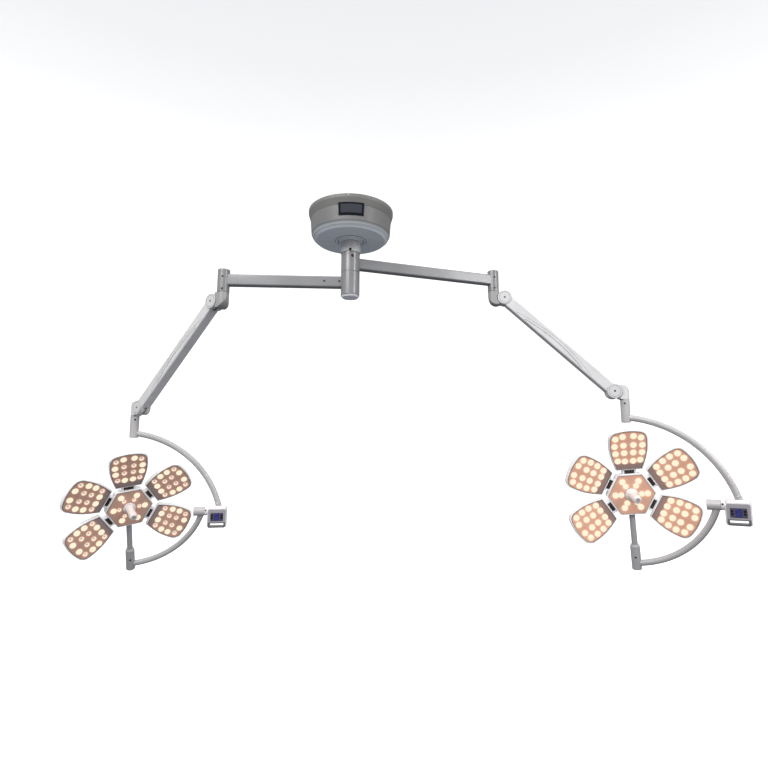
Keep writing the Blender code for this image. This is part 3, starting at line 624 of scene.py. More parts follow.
def cap_screw(radius, look="zinc"):
    """Countersunk screw with a cross recess."""
    head = turned([(0, 0.0006), (radius * 0.8, 0.0006, radius * 0.1), (radius, 0.0, 0.0002), (radius, -0.0008),
                   (0, -0.0008)], steps=40)
    slots = [box((radius * 1.2, radius * 0.24, 0.0012), (0, 0, 0.0006)),
             box((radius * 0.24, radius * 1.2, 0.0012), (0, 0, 0.0006))]
    return shaded(cut(head, *slots), look)


def hexagon_bolt(radius, height):
    """Bolt head with a washer; +Z is up through the head."""
    outline = arc((0, 0), radius, 0, 300, 6)
    head = prism(outline, height, bevel=0.0006)
    head.transform(Matrix.Rotation(math.pi / 2, 4, "X"))
    head.transform(Matrix.Translation((0, 0, height / 2 + 0.002)))
    washer = cylinder(radius * 1.35, 0.0, 0.0022, segments=40, bevel=0.0004)
    return shaded(joined(head, washer), "zinc")


SMALL_SCREW = grub_screw(0.0046)
LARGE_SCREW = grub_screw(0.0066)
COVER_SCREW = cap_screw(0.0032)


# ------------------------------------------------------------------ ceiling mount
def build_ceiling():
    body = "ceiling_mount"
    step_depth, step_radius = CANOPY_STEP
    shoulder_depth, shoulder_radius = CANOPY_SHOULDER
    floor_depth, floor_radius = CANOPY_FLOOR
    upper = turned([
        (CANOPY_TOP_RADIUS - 0.0045, -0.001), (CANOPY_TOP_RADIUS, -0.001, 0.0012),
        (CANOPY_TOP_RADIUS, -0.018, 0.030),
        (step_radius - 0.0065, -step_depth - 0.0015, 0.0015),
        (step_radius - 0.0100, -step_depth - 0.0015), (step_radius - 0.0100, -step_depth + 0.002),
        (step_radius - 0.0050, -step_depth + 0.010),
    ], closed=True, steps=160)
    piece("canopy_upper_skirt", shaded(upper, "canopy_upper"), body, replaces=["canopy_shell"])

    hole = SLEEVE_RADIUS + 0.001
    wall = 0.0025
    top = -step_depth - 0.0012
    lower = turned([
        (step_radius - 0.0105, top), (step_radius - 0.0070, top, 0.0006),
        (shoulder_radius, -shoulder_depth, 0.006), (shoulder_radius - 0.009, -shoulder_depth - 0.017, 0.012),
        (floor_radius, -floor_depth, 0.008), (0.0830, -floor_depth, 0.0006),
        (0.0815, -floor_depth - 0.0050, 0.0020), (0.0735, -floor_depth - 0.0050, 0.001),
        (0.0715, -floor_depth - 0.0005, 0.001), (0.0660, -floor_depth - 0.0005, 0.001),
        (0.0640, -floor_depth - 0.0085, 0.0020), (hole, -floor_depth - 0.0085), (hole, -floor_depth + wall),
        (floor_radius - wall, -floor_depth + wall), (shoulder_radius - wall, -shoulder_depth),
    ], closed=True, steps=160)
    seam = box((floor_radius - 0.082, 0.0022, 0.004), (-(floor_radius + 0.082) / 2, 0, -floor_depth))
    piece("canopy_lower_dish", shaded(cut(lower, seam), "canopy_lower"), body, replaces=["canopy_lower_cover"])
    seam_line = box((floor_radius - 0.083, 0.0022, 0.0006), (-(floor_radius + 0.082) / 2, 0, -floor_depth + 0.0010))
    piece("canopy_seam_shadow", shaded(seam_line, "seam"), body)
    for name, radius, depth in (("trim_ring_line", 0.0835, 0.0), ("trim_groove_line", 0.0690, 0.0004)):
        line = [(x, y, -floor_depth - depth) for x, y in arc((0, 0), radius, 0, 357, 120)]
        piece(name, shaded(tube(line, 0.0017, 2, True), "seam"), body)

    for index in range(3):
        angle = math.radians(30 + 120 * index)
        out = Vector((math.cos(angle), math.sin(angle), 0))
        place = facing(out * (CANOPY_TOP_RADIUS - 0.0002) + Vector((0, 0, -0.009)), out)
        piece(f"canopy_screw_{index + 1}", COVER_SCREW, body, place)
    for index in range(6):
        angle = math.radians(60 * index)
        place = Matrix.Translation((BOLT_CIRCLE * math.cos(angle), BOLT_CIRCLE * math.sin(angle), -PLATE_THICKNESS))
        piece(f"anchor_bolt_{index + 1}", ANCHOR_BOLT, body, place @ Matrix.Rotation(math.pi, 4, "X"))

    build_rating_plate(body, shoulder_radius + 0.0042)

    sleeve = turned([
        (0, -PLATE_THICKNESS - GAP), (0.085, -PLATE_THICKNESS - GAP, 0.001), (0.085, -0.0262, 0.002),
        (SLEEVE_RADIUS, -0.0262, 0.004), (SLEEVE_RADIUS, SLEEVE_END, 0.0012),
        (SHAFT_RADIUS, SLEEVE_END), (SHAFT_RADIUS, HUBS["left"][1] - GAP), (0, HUBS["left"][1] - GAP),
    ])
    piece("spindle_sleeve", shaded(sleeve, "sleeve_grey"), body, replaces=["spindle"])
    for index, angle in enumerate((-88, 32, 152)):
        out = Vector((math.cos(math.radians(angle)), math.sin(math.radians(angle)), 0))
        place = facing(out * SLEEVE_RADIUS + Vector((0, 0, SLEEVE_END + 0.0075)), out)
        piece(f"sleeve_screw_{index + 1}", LARGE_SCREW, body, place)

    top = HUBS["left"][1] - 0.0011
    cap = turned([(0, top), (HUB_RADIUS - 0.002, top), (HUB_RADIUS - 0.002, top - 0.0015, 0.0005),
                  (HUB_RADIUS - 0.0085, top - 0.0088, 0.0012), (0, top - 0.0092)])
    notch = box((0.009, 0.016, 0.012), (-0.022, -HUB_RADIUS + 0.004, top - 0.006), 0.001, 2)
    piece("end_cap", shaded(cut(cap, notch), "cap_grey"), body, replaces=["spindle_end_cap"])
    ring = tube([(x, y, top + 0.0004) for x, y in arc((0, 0), HUB_RADIUS - 0.0022, 0, 356.25, 96)], 0.0007, 2, True)
    piece("end_cap_seam", shaded(ring, "seam_dark"), body)


def build_rating_plate(body, radius):
    """Blank plate bent round the canopy's front and leaning with its wall, with a rim and a plain field."""
    lean = 0.127
    def bent(width, height, lift, thickness, z):
        half = width / 2 / radius
        columns = 24
        shape = bmesh.new()
        rows = []
        for inner in (0.0, thickness):
            for side in (-1, 1):
                out = radius + lift + inner + lean * side * height / 2
                rows.append([shape.verts.new((
                    out * math.sin(-half + 2 * half * i / columns), -out * math.cos(-half + 2 * half * i / columns),
                    z + side * height / 2)) for i in range(columns + 1)])
        back_low, back_high, front_low, front_high = rows
        for first, second in ((back_low, back_high), (back_high, front_high),
                              (front_high, front_low), (front_low, back_low)):
            for i in range(columns):
                shape.faces.new((first[i], first[i + 1], second[i + 1], second[i]))
        for i in (0, columns):
            shape.faces.new((back_low[i], back_high[i], front_high[i], front_low[i]))
        bmesh.ops.recalc_face_normals(shape, faces=shape.faces)
        mesh = bpy.data.meshes.new("bent_plate")
        shape.to_mesh(mesh)
        shape.free()
        return bevelled(mesh, 0.0004, 2, 40)
    middle = -0.078
    turn = Matrix.Rotation(math.radians(3.8), 4, "Z")
    piece("rating_plate_rim", shaded(bent(0.130, 0.066, -0.0005, 0.0040, middle), "plate_blue"), body, turn)
    piece("rating_plate_field", shaded(bent(0.108, 0.044, 0.001, 0.0030, middle + 0.002), "plate_field"), body, turn)


# ------------------------------------------------------------------ arms
def extension_arm_mesh(length, side, height):
    """Hub, rectangular tube and end housing, welded together."""
    top, bottom = (level - height for level in HUBS[side])
    bore = SHAFT_RADIUS + 0.0005
    hub = turned([(bore, top - 0.0005), (HUB_RADIUS, top - 0.0005, 0.0016), (HUB_RADIUS, bottom, 0.0016),
                  (bore, bottom)], closed=True)
    housing = turned([(0, HOUSING_ABOVE), (HOUSING_RADIUS, HOUSING_ABOVE, 0.004),
                      (HOUSING_RADIUS, -HOUSING_BELOW, 0.0014), (0, -HOUSING_BELOW)])
    moved(housing, (length, 0, 0))
    bar = box((length - 0.060, ARM_WIDTH, ARM_HEIGHT), (length / 2 + 0.010, 0, 0), 0.008, 5)
    return union(bar, hub, housing)


def weld_ring(width, height, radius, x, thickness=0.0012):
    """Fillet bead round a rectangular tube where it meets a hub, in the YZ plane."""
    half_w, half_h = width / 2, height / 2
    line = rounded([(-half_w, -half_h, radius), (half_w, -half_h, radius), (half_w, half_h, radius),
                    (-half_w, half_h, radius)], closed=True)
    return tube([(x, y, z) for y, z in line], thickness, 3, True)


def build_extension_arm(side, place, length):
    body = f"extension_arm_{side}"
    height = place.translation.z
    piece(f"arm_tube_{side}", shaded(extension_arm_mesh(length, side, height), "arm_mid"), body, place,
          [f"extension_arm_{side}"])
    weld = weld_ring(ARM_WIDTH - 0.001, ARM_HEIGHT - 0.001, 0.008, length - 0.0245)
    piece(f"arm_weld_{side}", shaded(weld, "arm_mid"), body, place)
    screws = []
    towards = math.radians(-90) - math.atan2(place.col[0].y, place.col[0].x)
    for across, z in ((0.08, 0.013), (0.08, -0.053)):
        angle = towards + across
        out = Vector((math.cos(angle), math.sin(angle), 0))
        screws.append(facing(Vector((length, 0, z)) + out * HOUSING_RADIUS, out))
    if side == "left":
        for x in (0.058, 0.138):
            screws.append(facing(Vector((x, ARM_WIDTH / 2, 0.002)), (0, 1, 0)))
    else:
        angle = towards + 0.27
        out = Vector((math.cos(angle), math.sin(angle), 0))
        screws.append(facing(out * HUB_RADIUS + Vector((0, 0, HUBS[side][0] - height - 0.0265)), out))
    for index, where in enumerate(screws):
        big = side == "right" and index == 2
        piece(f"arm_screw_{index + 1}_{side}", LARGE_SCREW if big else SMALL_SCREW, body, place @ where)
    ring = tube([(length + x, y, -HOUSING_BELOW - 0.0002) for x, y in arc((0, 0), HOUSING_RADIUS - 0.0012, 0, 354, 60)],
                0.0012, 2, True)
    piece(f"elbow_seam_{side}", shaded(ring, "seam_dark"), body, place)
    shown = HUBS[side][0] - height - 0.0002
    ring = tube([(x, y, shown) for x, y in arc((0, 0), HUB_RADIUS - 0.0009, 0, 356.25, 96)], 0.0010, 2, True)
    piece(f"hub_seam_{side}", shaded(ring, "seam_dark"), body, place)


def knuckle_outline(radius, reach):
    return arc((0, 0), radius, 90, 270, 37) + [(reach, -radius), (reach, radius)]


def cast(mesh, voxel=0.0016, rounds=45):
    """Soften every edge of a casting, as its pattern is rounded."""
    item = working_object(mesh)
    grid = item.modifiers.new("grid", "REMESH")
    grid.mode = "VOXEL"
    grid.voxel_size = voxel
    soft = item.modifiers.new("soft", "SMOOTH")
    soft.factor = 0.5
    soft.iterations = rounds
    return bake(item)


def tongue(pivot, root):
    across = Vector((pivot[0] - root[0], pivot[1] - root[1])).normalized()
    heading = math.degrees(math.atan2(across.y, across.x))
    half = TONGUE[1] * 0.72
    normal = Vector((-across.y, across.x)) * half
    eye = arc(pivot, TONGUE[1], heading + 134, heading - 134, 33)
    return prism(eye + [(root[0] - normal.x, root[1] - normal.y), (root[0] + normal.x, root[1] + normal.y)],
                 TONGUE[0])


def upper_knuckle_mesh():
    """Cast elbow: round under the housing, open towards the arm's round head."""
    radius = HOUSING_RADIUS - 0.0005
    pivot = (KNUCKLE_REACH, -KNUCKLE_DROP)
    outline = [(radius, 0.016), (-radius, 0.016), (-radius, -0.028)]
    outline += arc((0.021, -0.034), 0.051, 187, 262, 20)
    outline += arc(pivot, CUP_RADIUS, 240, 133, 28)
    plan = prism(knuckle_outline(radius, 0.12), 0.3)
    plan.transform(Matrix.Rotation(-math.pi / 2, 4, "X"))
    body = cast(boolean("INTERSECT", prism(outline, BEAM_WIDTH + 0.005), plan))
    body = cut(body, box((0.2, 0.2, 0.04), (0, 0, 0.0195)))
    return union(body, tongue(pivot, (0.012, -KNUCKLE_DROP)))


def lower_knuckle_mesh():
    """Levelled elbow between the spring arm and the swivel."""
    radius = SWIVEL_RADIUS
    low = -LEVEL_DROP - 0.016
    outline = [(LEVEL_REACH + radius, low), (LEVEL_REACH + radius, -0.010)]
    outline += arc((0.034, -0.006), 0.0485, 8, 62, 16)
    outline += arc((0, 0), CUP_RADIUS, 62, -62, 28)
    outline += [(LEVEL_REACH - radius, -LEVEL_DROP), (LEVEL_REACH - radius, low)]
    plan_outline = [(LEVEL_REACH - x, y) for x, y in knuckle_outline(radius + 0.0003, 0.10)]
    plan = prism(plan_outline, 0.3)
    plan.transform(Matrix.Rotation(-math.pi / 2, 4, "X"))
    body = cast(boolean("INTERSECT", prism(outline, BEAM_WIDTH + 0.001), plan))
    body = cut(body, box((0.3, 0.2, 0.04), (LEVEL_REACH, 0, -LEVEL_DROP - 0.020)))
    return union(body, tongue((0, 0), (LEVEL_REACH - 0.004, -0.008)))


def spring_arm_mesh():
    """Beam with rounded edges, slightly waisted at the round heads that take the knuckles."""
    half = BEAM_WIDTH / 2
    beam = box((BEAM_LENGTH, BEAM_WIDTH, BEAM_HEIGHT), (BEAM_LENGTH / 2, 0, 0), 0.0075, 5)
    heads = [cylinder(HEAD_RADIUS, -half - 0.001, half + 0.001, "Y", 96, (x, 0, 0), 0.003)
             for x in (0, BEAM_LENGTH)]
    slots = [cylinder(CUP_RADIUS + 0.003, -TONGUE[0] / 2 - 0.0005, TONGUE[0] / 2 + 0.0005, "Y", 96, (x, 0, 0))
             for x in (0, BEAM_LENGTH)]
    hollow = box((BEAM_LENGTH - 2 * HEAD_RADIUS + 0.004, BEAM_WIDTH - 0.013, BEAM_HEIGHT - 0.013),
                 (BEAM_LENGTH / 2, 0, 0))
    return cut(union(beam, *heads), *slots, hollow)


def pivot_disc_mesh():
    """Cover disc with a stepped rim; +Z is outwards."""
    return turned([(0, 0.0030), (0.0072, 0.0030, 0.0003), (0.0078, 0.0034, 0.0003), (0.0302, 0.0034, 0.0004),
                   (0.0308, 0.0026, 0.0003), (0.0320, 0.0026, 0.0003), (0.0326, 0.0034, 0.0004),
                   (0.0396, 0.0034, 0.0010), (0.0402, 0.0020), (0.0402, -0.0010), (0, -0.0010)])


def arched_line(side_sign, start, end, rise, base, radius):
    """Long arched groove line along the arm's side, from its lower edge up and back."""
    count = 60
    points = []
    for i in range(count + 1):
        t = i / count
        z = base + rise * math.sin(math.pi * t) ** 0.9
        points.append((start + (end - start) * t, side_sign * (BEAM_WIDTH / 2 - radius * 0.35), z))
    return tube(points, radius, 2)


def build_spring_arm(side, place, meshes):
    body = f"spring_arm_{side}"
    piece(f"spring_arm_beam_{side}", meshes["beam"], body, place, [f"spring_arm_{side}"])
    for number, sign in enumerate((-1, 1), 1):
        for end, x in (("upper", 0.0), ("lower", BEAM_LENGTH)):
            where = facing((x, sign * (BEAM_WIDTH / 2 + 0.001), 0), (0, sign, 0))
            piece(f"pivot_disc_{end}_{number}_{side}", meshes["disc"], body, place @ where)
            piece(f"pivot_rings_{end}_{number}_{side}", meshes["disc_rings"], body, place @ where)
            piece(f"pivot_screw_{end}_{number}_{side}", meshes["pivot_screw"], body,
                  place @ where @ Matrix.Translation((0, 0, 0.0032)))
        piece(f"panel_line_{number}_{side}", meshes[f"line_{number}"], body, place)
        piece(f"panel_edge_{number}_{side}", meshes[f"edge_{number}"], body, place)
    node = frame["nodes"][f"balance_spring_{side}"]
    node.data.materials.clear()
    node.data.materials.append(LOOKS["dark_steel"])


# ------------------------------------------------------------------ bows and control unit
def upper_bow_mesh():
    gimbal = -SWIVEL_LENGTH - GIMBAL_DROP
    swivel = turned([(0, -0.0005), (SWIVEL_RADIUS, -0.0005, 0.0012), (SWIVEL_RADIUS, -0.060),
                     (SWIVEL_RADIUS - 0.0006, -SWIVEL_LENGTH, 0.0022), (0, -SWIVEL_LENGTH)])
    (cx, cz), radius = UPPER_BOW
    path = arc((cx, cz + gimbal), radius, 82.6, 14.2, 61)
    return union(swivel, tube([(x, 0, z) for x, z in path], BOW_TUBE_RADIUS, 8))


def barrel_mesh():
    start, end, radius = BARREL
    barrel = turned([(0, end), (radius, end, 0.0012), (radius, start, 0.0022), (0, start)])
    barrel.transform(Matrix.Rotation(math.pi / 2, 4, "Y"))
    return barrel


def lower_bow_mesh():
    centre, reach = LOWER_BOW
    return tube([(x, 0, z) for x, z in arc(centre, reach, -17.4, -83.2, 61)], BOW_TUBE_RADIUS, 8)


def socket_mesh():
    top, bottom, radius = SOCKET
    return turned([(0, top), (STEM_RADIUS + 0.0035, top, 0.0008), (radius, top - 0.011, 0.0015),
                   (radius, bottom, 0.0025), (0, bottom)])


def bolster(radius, length, flare, steps=64):
    """Short flared collar where a bow tube enters a barrel; runs along +Z."""
    return turned([(0, length), (radius, length, 0.0004), (radius + 0.0006, length * 0.5, 0.003),
                   (radius + flare, 0.0), (0, 0.0)], steps=steps)


def control_case_mesh():
    (x0, x1), (z0, z1) = CONTROL_X, CONTROL_Z
    middle = ((x0 + x1) / 2, 0, (z0 + z1) / 2)
    case = box((x1 - x0, CONTROL_THICKNESS, z1 - z0), middle, 0.015, 7)
    grip = box((GRIP_SLOT[0], 0.2, GRIP_SLOT[1]), (middle[0], 0, GRIP_SLOT[2]), 0.005, 4)
    front = -CONTROL_THICKNESS / 2
    recess = box((DISPLAY[0], 0.004, DISPLAY[1]), (middle[0], front, DISPLAY[2]))
    collar = turned([(0, 0.4145), (BARREL[2] - 0.001, 0.4145), (BARREL[2] - 0.001, x0 + 0.006), (0, x0 + 0.006)][::-1])
    collar.transform(Matrix.Rotation(math.pi / 2, 4, "Y"))
    pin = cylinder(0.0115, BARREL[0] + 0.018, x0 + 0.010, "X", 48)
    return cut(union(case, collar, pin), grip, recess)


def flat_outline(width, height, radius):
    def outline(grow):
        w, h, r = width / 2 + grow, height / 2 + grow, max(radius + grow, 0.0002)
        return rounded([(-w, -h, r), (w, -h, r), (w, h, r), (-w, h, r)], closed=True)
    return outline


def bezel_mesh():
    """Front frame of the control unit, open at the display and at the grip slot: upper and lower part."""
    (x0, x1), (z0, z1) = CONTROL_X, CONTROL_Z
    width, top = x1 - x0 - 0.0115, 0.0105
    middle = (x0 + x1) / 2
    height = top - z0 - 0.004
    front = -CONTROL_THICKNESS / 2
    frame_shape = loft(flat_outline(width, height, 0.0105),
                       [(0.0, 0.003), (0.0, 0.0008), (-0.0008, 0.0)])
    moved(frame_shape, (middle, front - 0.0010, (top + z0 + 0.004) / 2))
    display = box((DISPLAY[0] - 0.0006, 0.02, DISPLAY[1] - 0.0006), (middle, front, DISPLAY[2]), 0.0015, 3)
    grip = box((GRIP_SLOT[0] - 0.0004, 0.02, GRIP_SLOT[1] - 0.0004), (middle, front, GRIP_SLOT[2]), 0.0045, 4)
    whole = cut(frame_shape, display, grip)
    split = -0.0645
    lower = box((0.3, 0.1, 0.1), (middle, front, split - 0.05))
    return cut(whole, lower), boolean("INTERSECT", whole.copy(), lower.copy())


def build_control_unit(side, place, meshes):
    body = f"upper_bow_{side}"
    (x0, x1), (z0, z1) = CONTROL_X, CONTROL_Z
    middle = (x0 + x1) / 2
    front = -CONTROL_THICKNESS / 2
    piece(f"control_case_{side}", meshes["case"], body, place, [f"control_housing_{side}"])
    piece(f"control_bezel_{side}", meshes["bezel"], body, place)
    piece(f"grip_bezel_{side}", meshes["grip_bezel"], body, place)
    piece(f"display_window_{side}", meshes["window"], body, place, [f"display_panel_{side}"])
    piece(f"display_screen_{side}", meshes["screen"], body, place)
    piece(f"display_frame_{side}", meshes["screen_frame"], body, place)
    piece(f"case_seam_{side}", meshes["case_seam"], body, place)
    piece(f"case_base_{side}", meshes["case_base"], body, place)
    piece(f"grip_lining_{side}", meshes["grip_lining"], body, place)
    piece(f"barrel_seam_{side}", meshes["barrel_seam"], body, place)
    piece(f"bow_entry_{side}", meshes["bow_entry"], body, place)
    for number, (x, z) in enumerate(((x0 + 0.013, 0.018), (x1 - 0.013, 0.018), (x0 + 0.013, -0.060),
                                     (x1 - 0.013, -0.060)), 1):
        where = facing((x, -front + 0.0001, z), (0, 1, 0))
        piece(f"case_screw_{number}_{side}", COVER_SCREW, body, place @ where)
    where = facing((0.4215, -0.0243, 0.0060), (0, -1, 0.25))
    piece(f"collar_screw_{side}", SMALL_SCREW, body, place @ where)
    back = box((0.060, 0.0012, 0.030), (middle, -front + 0.0004, -0.022), 0.0005, 2)
    piece(f"case_plate_{side}", shaded(back, "plate_field"), body, place)
    for number in range(1, 5):
        low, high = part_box(f"button_{number}_{side}")
        centre = place.inverted() @ ((low + high) / 2)
        where = place @ Matrix.Translation((centre.x, front - 0.0012, centre.z))
        piece(f"key_cap_{number}_{side}", meshes["key"], f"button_{number}_{side}", where,
              [f"button_{number}_{side}"])


def control_meshes():
    (x0, x1), (z0, z1) = CONTROL_X, CONTROL_Z
    middle = (x0 + x1) / 2
    front = -CONTROL_THICKNESS / 2
    window = box((DISPLAY[0] - 0.0012, 0.0022, DISPLAY[1] - 0.0012), (middle, front + 0.0009, DISPLAY[2]), 0.0006, 2)
    key_holes = [box((0.0128, 0.02, 0.0116), (middle + sx * 0.0268, front, DISPLAY[2] + 0.001 + sz * 0.0071))
                 for sx in (-1, 1) for sz in (1, -1)]
    screen = box((0.0290, 0.0010, 0.0400), (middle, front - 0.0003, DISPLAY[2] + 0.0005), 0.0004, 2)
    frame_line = [(middle + x, front - 0.0003, DISPLAY[2] + 0.0005 + z)
                  for x, z in flat_outline(0.0302, 0.0412, 0.001)(0.0)]
    key = loft(flat_outline(0.0120, 0.0108, 0.0016),
               [(0.0, 0.0034), (0.0, 0.0006), (-0.0006, 0.0), (-0.0016, 0.0), (-0.0022, 0.0003)])
    depth = CONTROL_THICKNESS / 2 + 0.0001
    ring = [(x, 0.004, z) for x, z in flat_outline(x1 - x0, z1 - z0, 0.015)(0.0001)]
    ring = [(x + middle, y, z + (z0 + z1) / 2) for x, y, z in ring]
    base = box((x1 - x0 - 0.020, CONTROL_THICKNESS + 0.0018, 0.0065), (middle, 0, z0 + 0.0042), 0.0026, 3)
    lining = []
    for y in (-depth, depth):
        lining.append(tube([(x + middle, y, z + GRIP_SLOT[2]) for x, z in
                            flat_outline(GRIP_SLOT[0], GRIP_SLOT[1], 0.005)(0.0)], 0.0009, 2, True))
    barrel_ring = [(BARREL[1] + 0.0006, y, z) for y, z in arc((0, 0), BARREL[2] - 0.0014, 0, 354, 60)]
    (cx, cz), radius = UPPER_BOW
    entry = math.radians(16.8)
    entry_place = axes((cx + radius * math.cos(entry), 0, cz + radius * math.sin(entry)),
                       (0, 1, 0), (-math.sin(entry), 0, math.cos(entry)))
    collar = bolster(BOW_TUBE_RADIUS + 0.0005, 0.006, 0.0020)
    collar.transform(entry_place)
    bezel, grip_bezel = bezel_mesh()
    return {
        "case": shaded(control_case_mesh(), "case_white"),
        "bezel": shaded(bezel, "bezel"),
        "grip_bezel": shaded(grip_bezel, "case_base"),
        "window": shaded(cut(window, *key_holes), "window"),
        "screen": shaded(screen, "screen"),
        "screen_frame": shaded(tube(frame_line, 0.0005, 2, True), "seam"),
        "key": shaded(key, "key_black"),
        "case_seam": shaded(tube(ring, 0.0006, 2, True), "seam"),
        "case_base": shaded(base, "case_base"),
        "grip_lining": shaded(joined(*lining), "case_base"),
        "barrel_seam": shaded(tube(barrel_ring, 0.0009, 2, True), "seam_dark"),
        "bow_entry": shaded(collar, "bow_white"),
    }


# ------------------------------------------------------------------ lamp head
def petal_outline(grow):
    """Petal outline (distance, sideways), grown outwards; smooth sides and round outer corners."""
    controls = [(distance, half + grow) for distance, half in PETAL_SIDE]
    controls[0] = (PETAL_SIDE[0][0] - grow, PETAL_SIDE[0][1] + grow * 0.8)
    side = []
    for i in range(len(controls) - 1):
        p0 = Vector(controls[max(i - 1, 0)])
        p1, p2 = Vector(controls[i]), Vector(controls[i + 1])
        p3 = Vector(controls[min(i + 2, len(controls) - 1)])
        for step in range(5):
            t = step / 5
            side.append(tuple(0.5 * (2 * p1 + (p2 - p0) * t + (2 * p0 - 5 * p1 + 4 * p2 - p3) * t * t
                                     + (3 * p1 - p0 - 3 * p2 + p3) * t ** 3)))
    side.append(controls[-1])
    corner = PETAL_CORNER + grow * 0.5
    middle = (PETAL_TIP - 0.0065 + grow - corner, PETAL_SIDE[-1][1] + grow - corner)
    side += arc(middle, corner, 74, 8, 9)
    edge_x, edge_y = side[-1]
    for step in range(1, 7):
        t = step / 6
        side.append((edge_x + (PETAL_TIP + grow - edge_x) * (1 - (1 - t) ** 2), edge_y * (1 - t)))
    start = side[0]
    inner = [(start[0], start[1] * (1 - 2 * t / 8)) for t in range(1, 8)]
    mirrored = [(distance, -half) for distance, half in side[-2::-1]]
    return side + mirrored + [(x, y) for x, y in reversed(inner)]


def petal_lean():
    hinge = Matrix.Translation((PETAL_HINGE, HEAD_FRONT, 0))
    return hinge @ Matrix.Rotation(-math.radians(PETAL_DISH), 4, "Z") @ hinge.inverted()


def placed_petal(mesh, front=HEAD_FRONT):
    """Move a mesh drawn with its face at y = 0 onto the leaning petal."""
    mesh.transform(petal_lean() @ Matrix.Translation((0, front, 0)))
    return mesh


def petal_shell_mesh():
    profile = [(0.0, 0.0065), (0.0, -0.0004), (0.0009, -0.0013), (0.0048, -0.0013), (0.0060, -0.0004),
               (0.0066, 0.004), (0.0070, 0.012), (0.0062, 0.021), (0.0036, 0.0285), (-0.002, 0.0330),
               (-0.012, 0.0352), (-0.030, 0.0362), (-0.034, 0.0362)]
    return placed_petal(loft(petal_outline, profile))


def petal_leds():
    """(distance, sideways, is a focus LED) of the sixteen LEDs of a petal."""
    places = []
    for row, (outer, inner) in enumerate(LED_ROWS):
        for sign in (-1, 1):
            places.append((outer[0], sign * outer[1], row in (0, 3)))
            places.append((inner[0], sign * inner[1], row in (1, 2)))
    return places


def hexagon_leds():
    """The same for the hexagon, as (x, z): six pairs of LEDs on its rays."""
    places = []
    for index in range(6):
        angle = math.radians(60 * index)
        for distance, _ in HEX_LEDS:
            places.append((distance * math.cos(angle), distance * math.sin(angle), distance < 0.06))
    return places


def add_glow(mesh, leds, reach, inner_edge=None):
    """Glow value at each point of a light panel: 1 at an LED, falling off between them."""
    values = []
    for vertex in mesh.vertices:
        x, z = vertex.co.x, vertex.co.z
        nearest = min(math.hypot(x - led[0], z - led[1]) for led in leds)
        near = max(0.0, nearest - LENS_RADIUS * 0.9)
        value = 0.45 + 0.30 * math.exp(-near / reach)
        if inner_edge is not None:
            value *= min(1.0, max(0.0, (x - inner_edge) / 0.012))
        values.append(value)
    attribute = mesh.attributes.new("glow", "FLOAT", "POINT")
    attribute.data.foreach_set("value", values)
    return mesh


def sheet_grid(outline, rows, thickness):
    """Closed plate whose face has many rings, so that its glow can vary across it."""
    shape = bmesh.new()
    edge = outline(-0.0004)
    centre = Vector((sum(p[0] for p in edge) / len(edge), sum(p[1] for p in edge) / len(edge)))
    loops = []
    for row in range(rows, 0, -1):
        t = row / rows
        loops.append([shape.verts.new((centre.x + (x - centre.x) * t, 0, centre.y + (z - centre.y) * t))
                      for x, z in edge])
    middle = shape.verts.new((centre.x, 0, centre.y))
    back = [shape.verts.new((x, thickness, z)) for x, z in edge]
    count = len(edge)
    for first, second in zip([back] + loops, loops):
        for i in range(count):
            j = (i + 1) % count
            shape.faces.new((first[i], first[j], second[j], second[i]))
    for i in range(count):
        shape.faces.new((loops[-1][i], loops[-1][(i + 1) % count], middle))
    shape.faces.new(back)
    bmesh.ops.recalc_face_normals(shape, faces=shape.faces)
    mesh = bpy.data.meshes.new("sheet")
    shape.to_mesh(mesh)
    shape.free()
    return mesh


def dense_edge(outline, length=0.004):
    """The same outline with its long edges divided."""
    def divided(grow):
        points = outline(grow)
        line = []
        for i, here in enumerate(points):
            there = points[(i + 1) % len(points)]
            pieces = max(1, round(math.dist(here, there) / length))
            line += [(here[0] + (there[0] - here[0]) * k / pieces, here[1] + (there[1] - here[1]) * k / pieces)
                     for k in range(pieces)]
        return line
    return divided


def lens_part(rows, radius, x, z, segments=36):
    """Turned lens about -Y from (radius share, y, glow) rows; returns vertices, faces, glow."""
    vertices, faces, glow = [], [], []
    for share, y, value in rows:
        for i in range(segments):
            angle = 2 * math.pi * i / segments
            vertices.append((x + radius * share * math.cos(angle), y, z + radius * share * math.sin(angle)))
            glow.append(value)
    for row in range(len(rows) - 1):
        for i in range(segments):
            j = (i + 1) % segments
            a, b = row * segments, (row + 1) * segments
            faces.append((a + i, b + i, b + j, a + j))
    last = (len(rows) - 1) * segments
    faces.append(tuple(last + i for i in range(segments)))
    return vertices, faces, glow


FLOOD_ROWS = ((1.0, 0.0006, 0.0), (0.97, -0.0008, 0.25), (0.86, -0.0018, 0.7), (0.66, -0.0027, 1.0),
              (0.40, -0.0033, 0.92), (0.20, -0.0036, 0.8), (0.06, -0.0036, 0.7))
FOCUS_ROWS = ((0.99, 0.0004, 0.0), (0.95, -0.0006, 0.1), (0.88, -0.0006, 0.15), (0.80, 0.0006, 0.5),
              (0.66, 0.0030, 1.0), (0.45, 0.0060, 1.0), (0.30, 0.0065, 0.55), (0.18, 0.0060, 0.25),
              (0.05, 0.0058, 0.2))


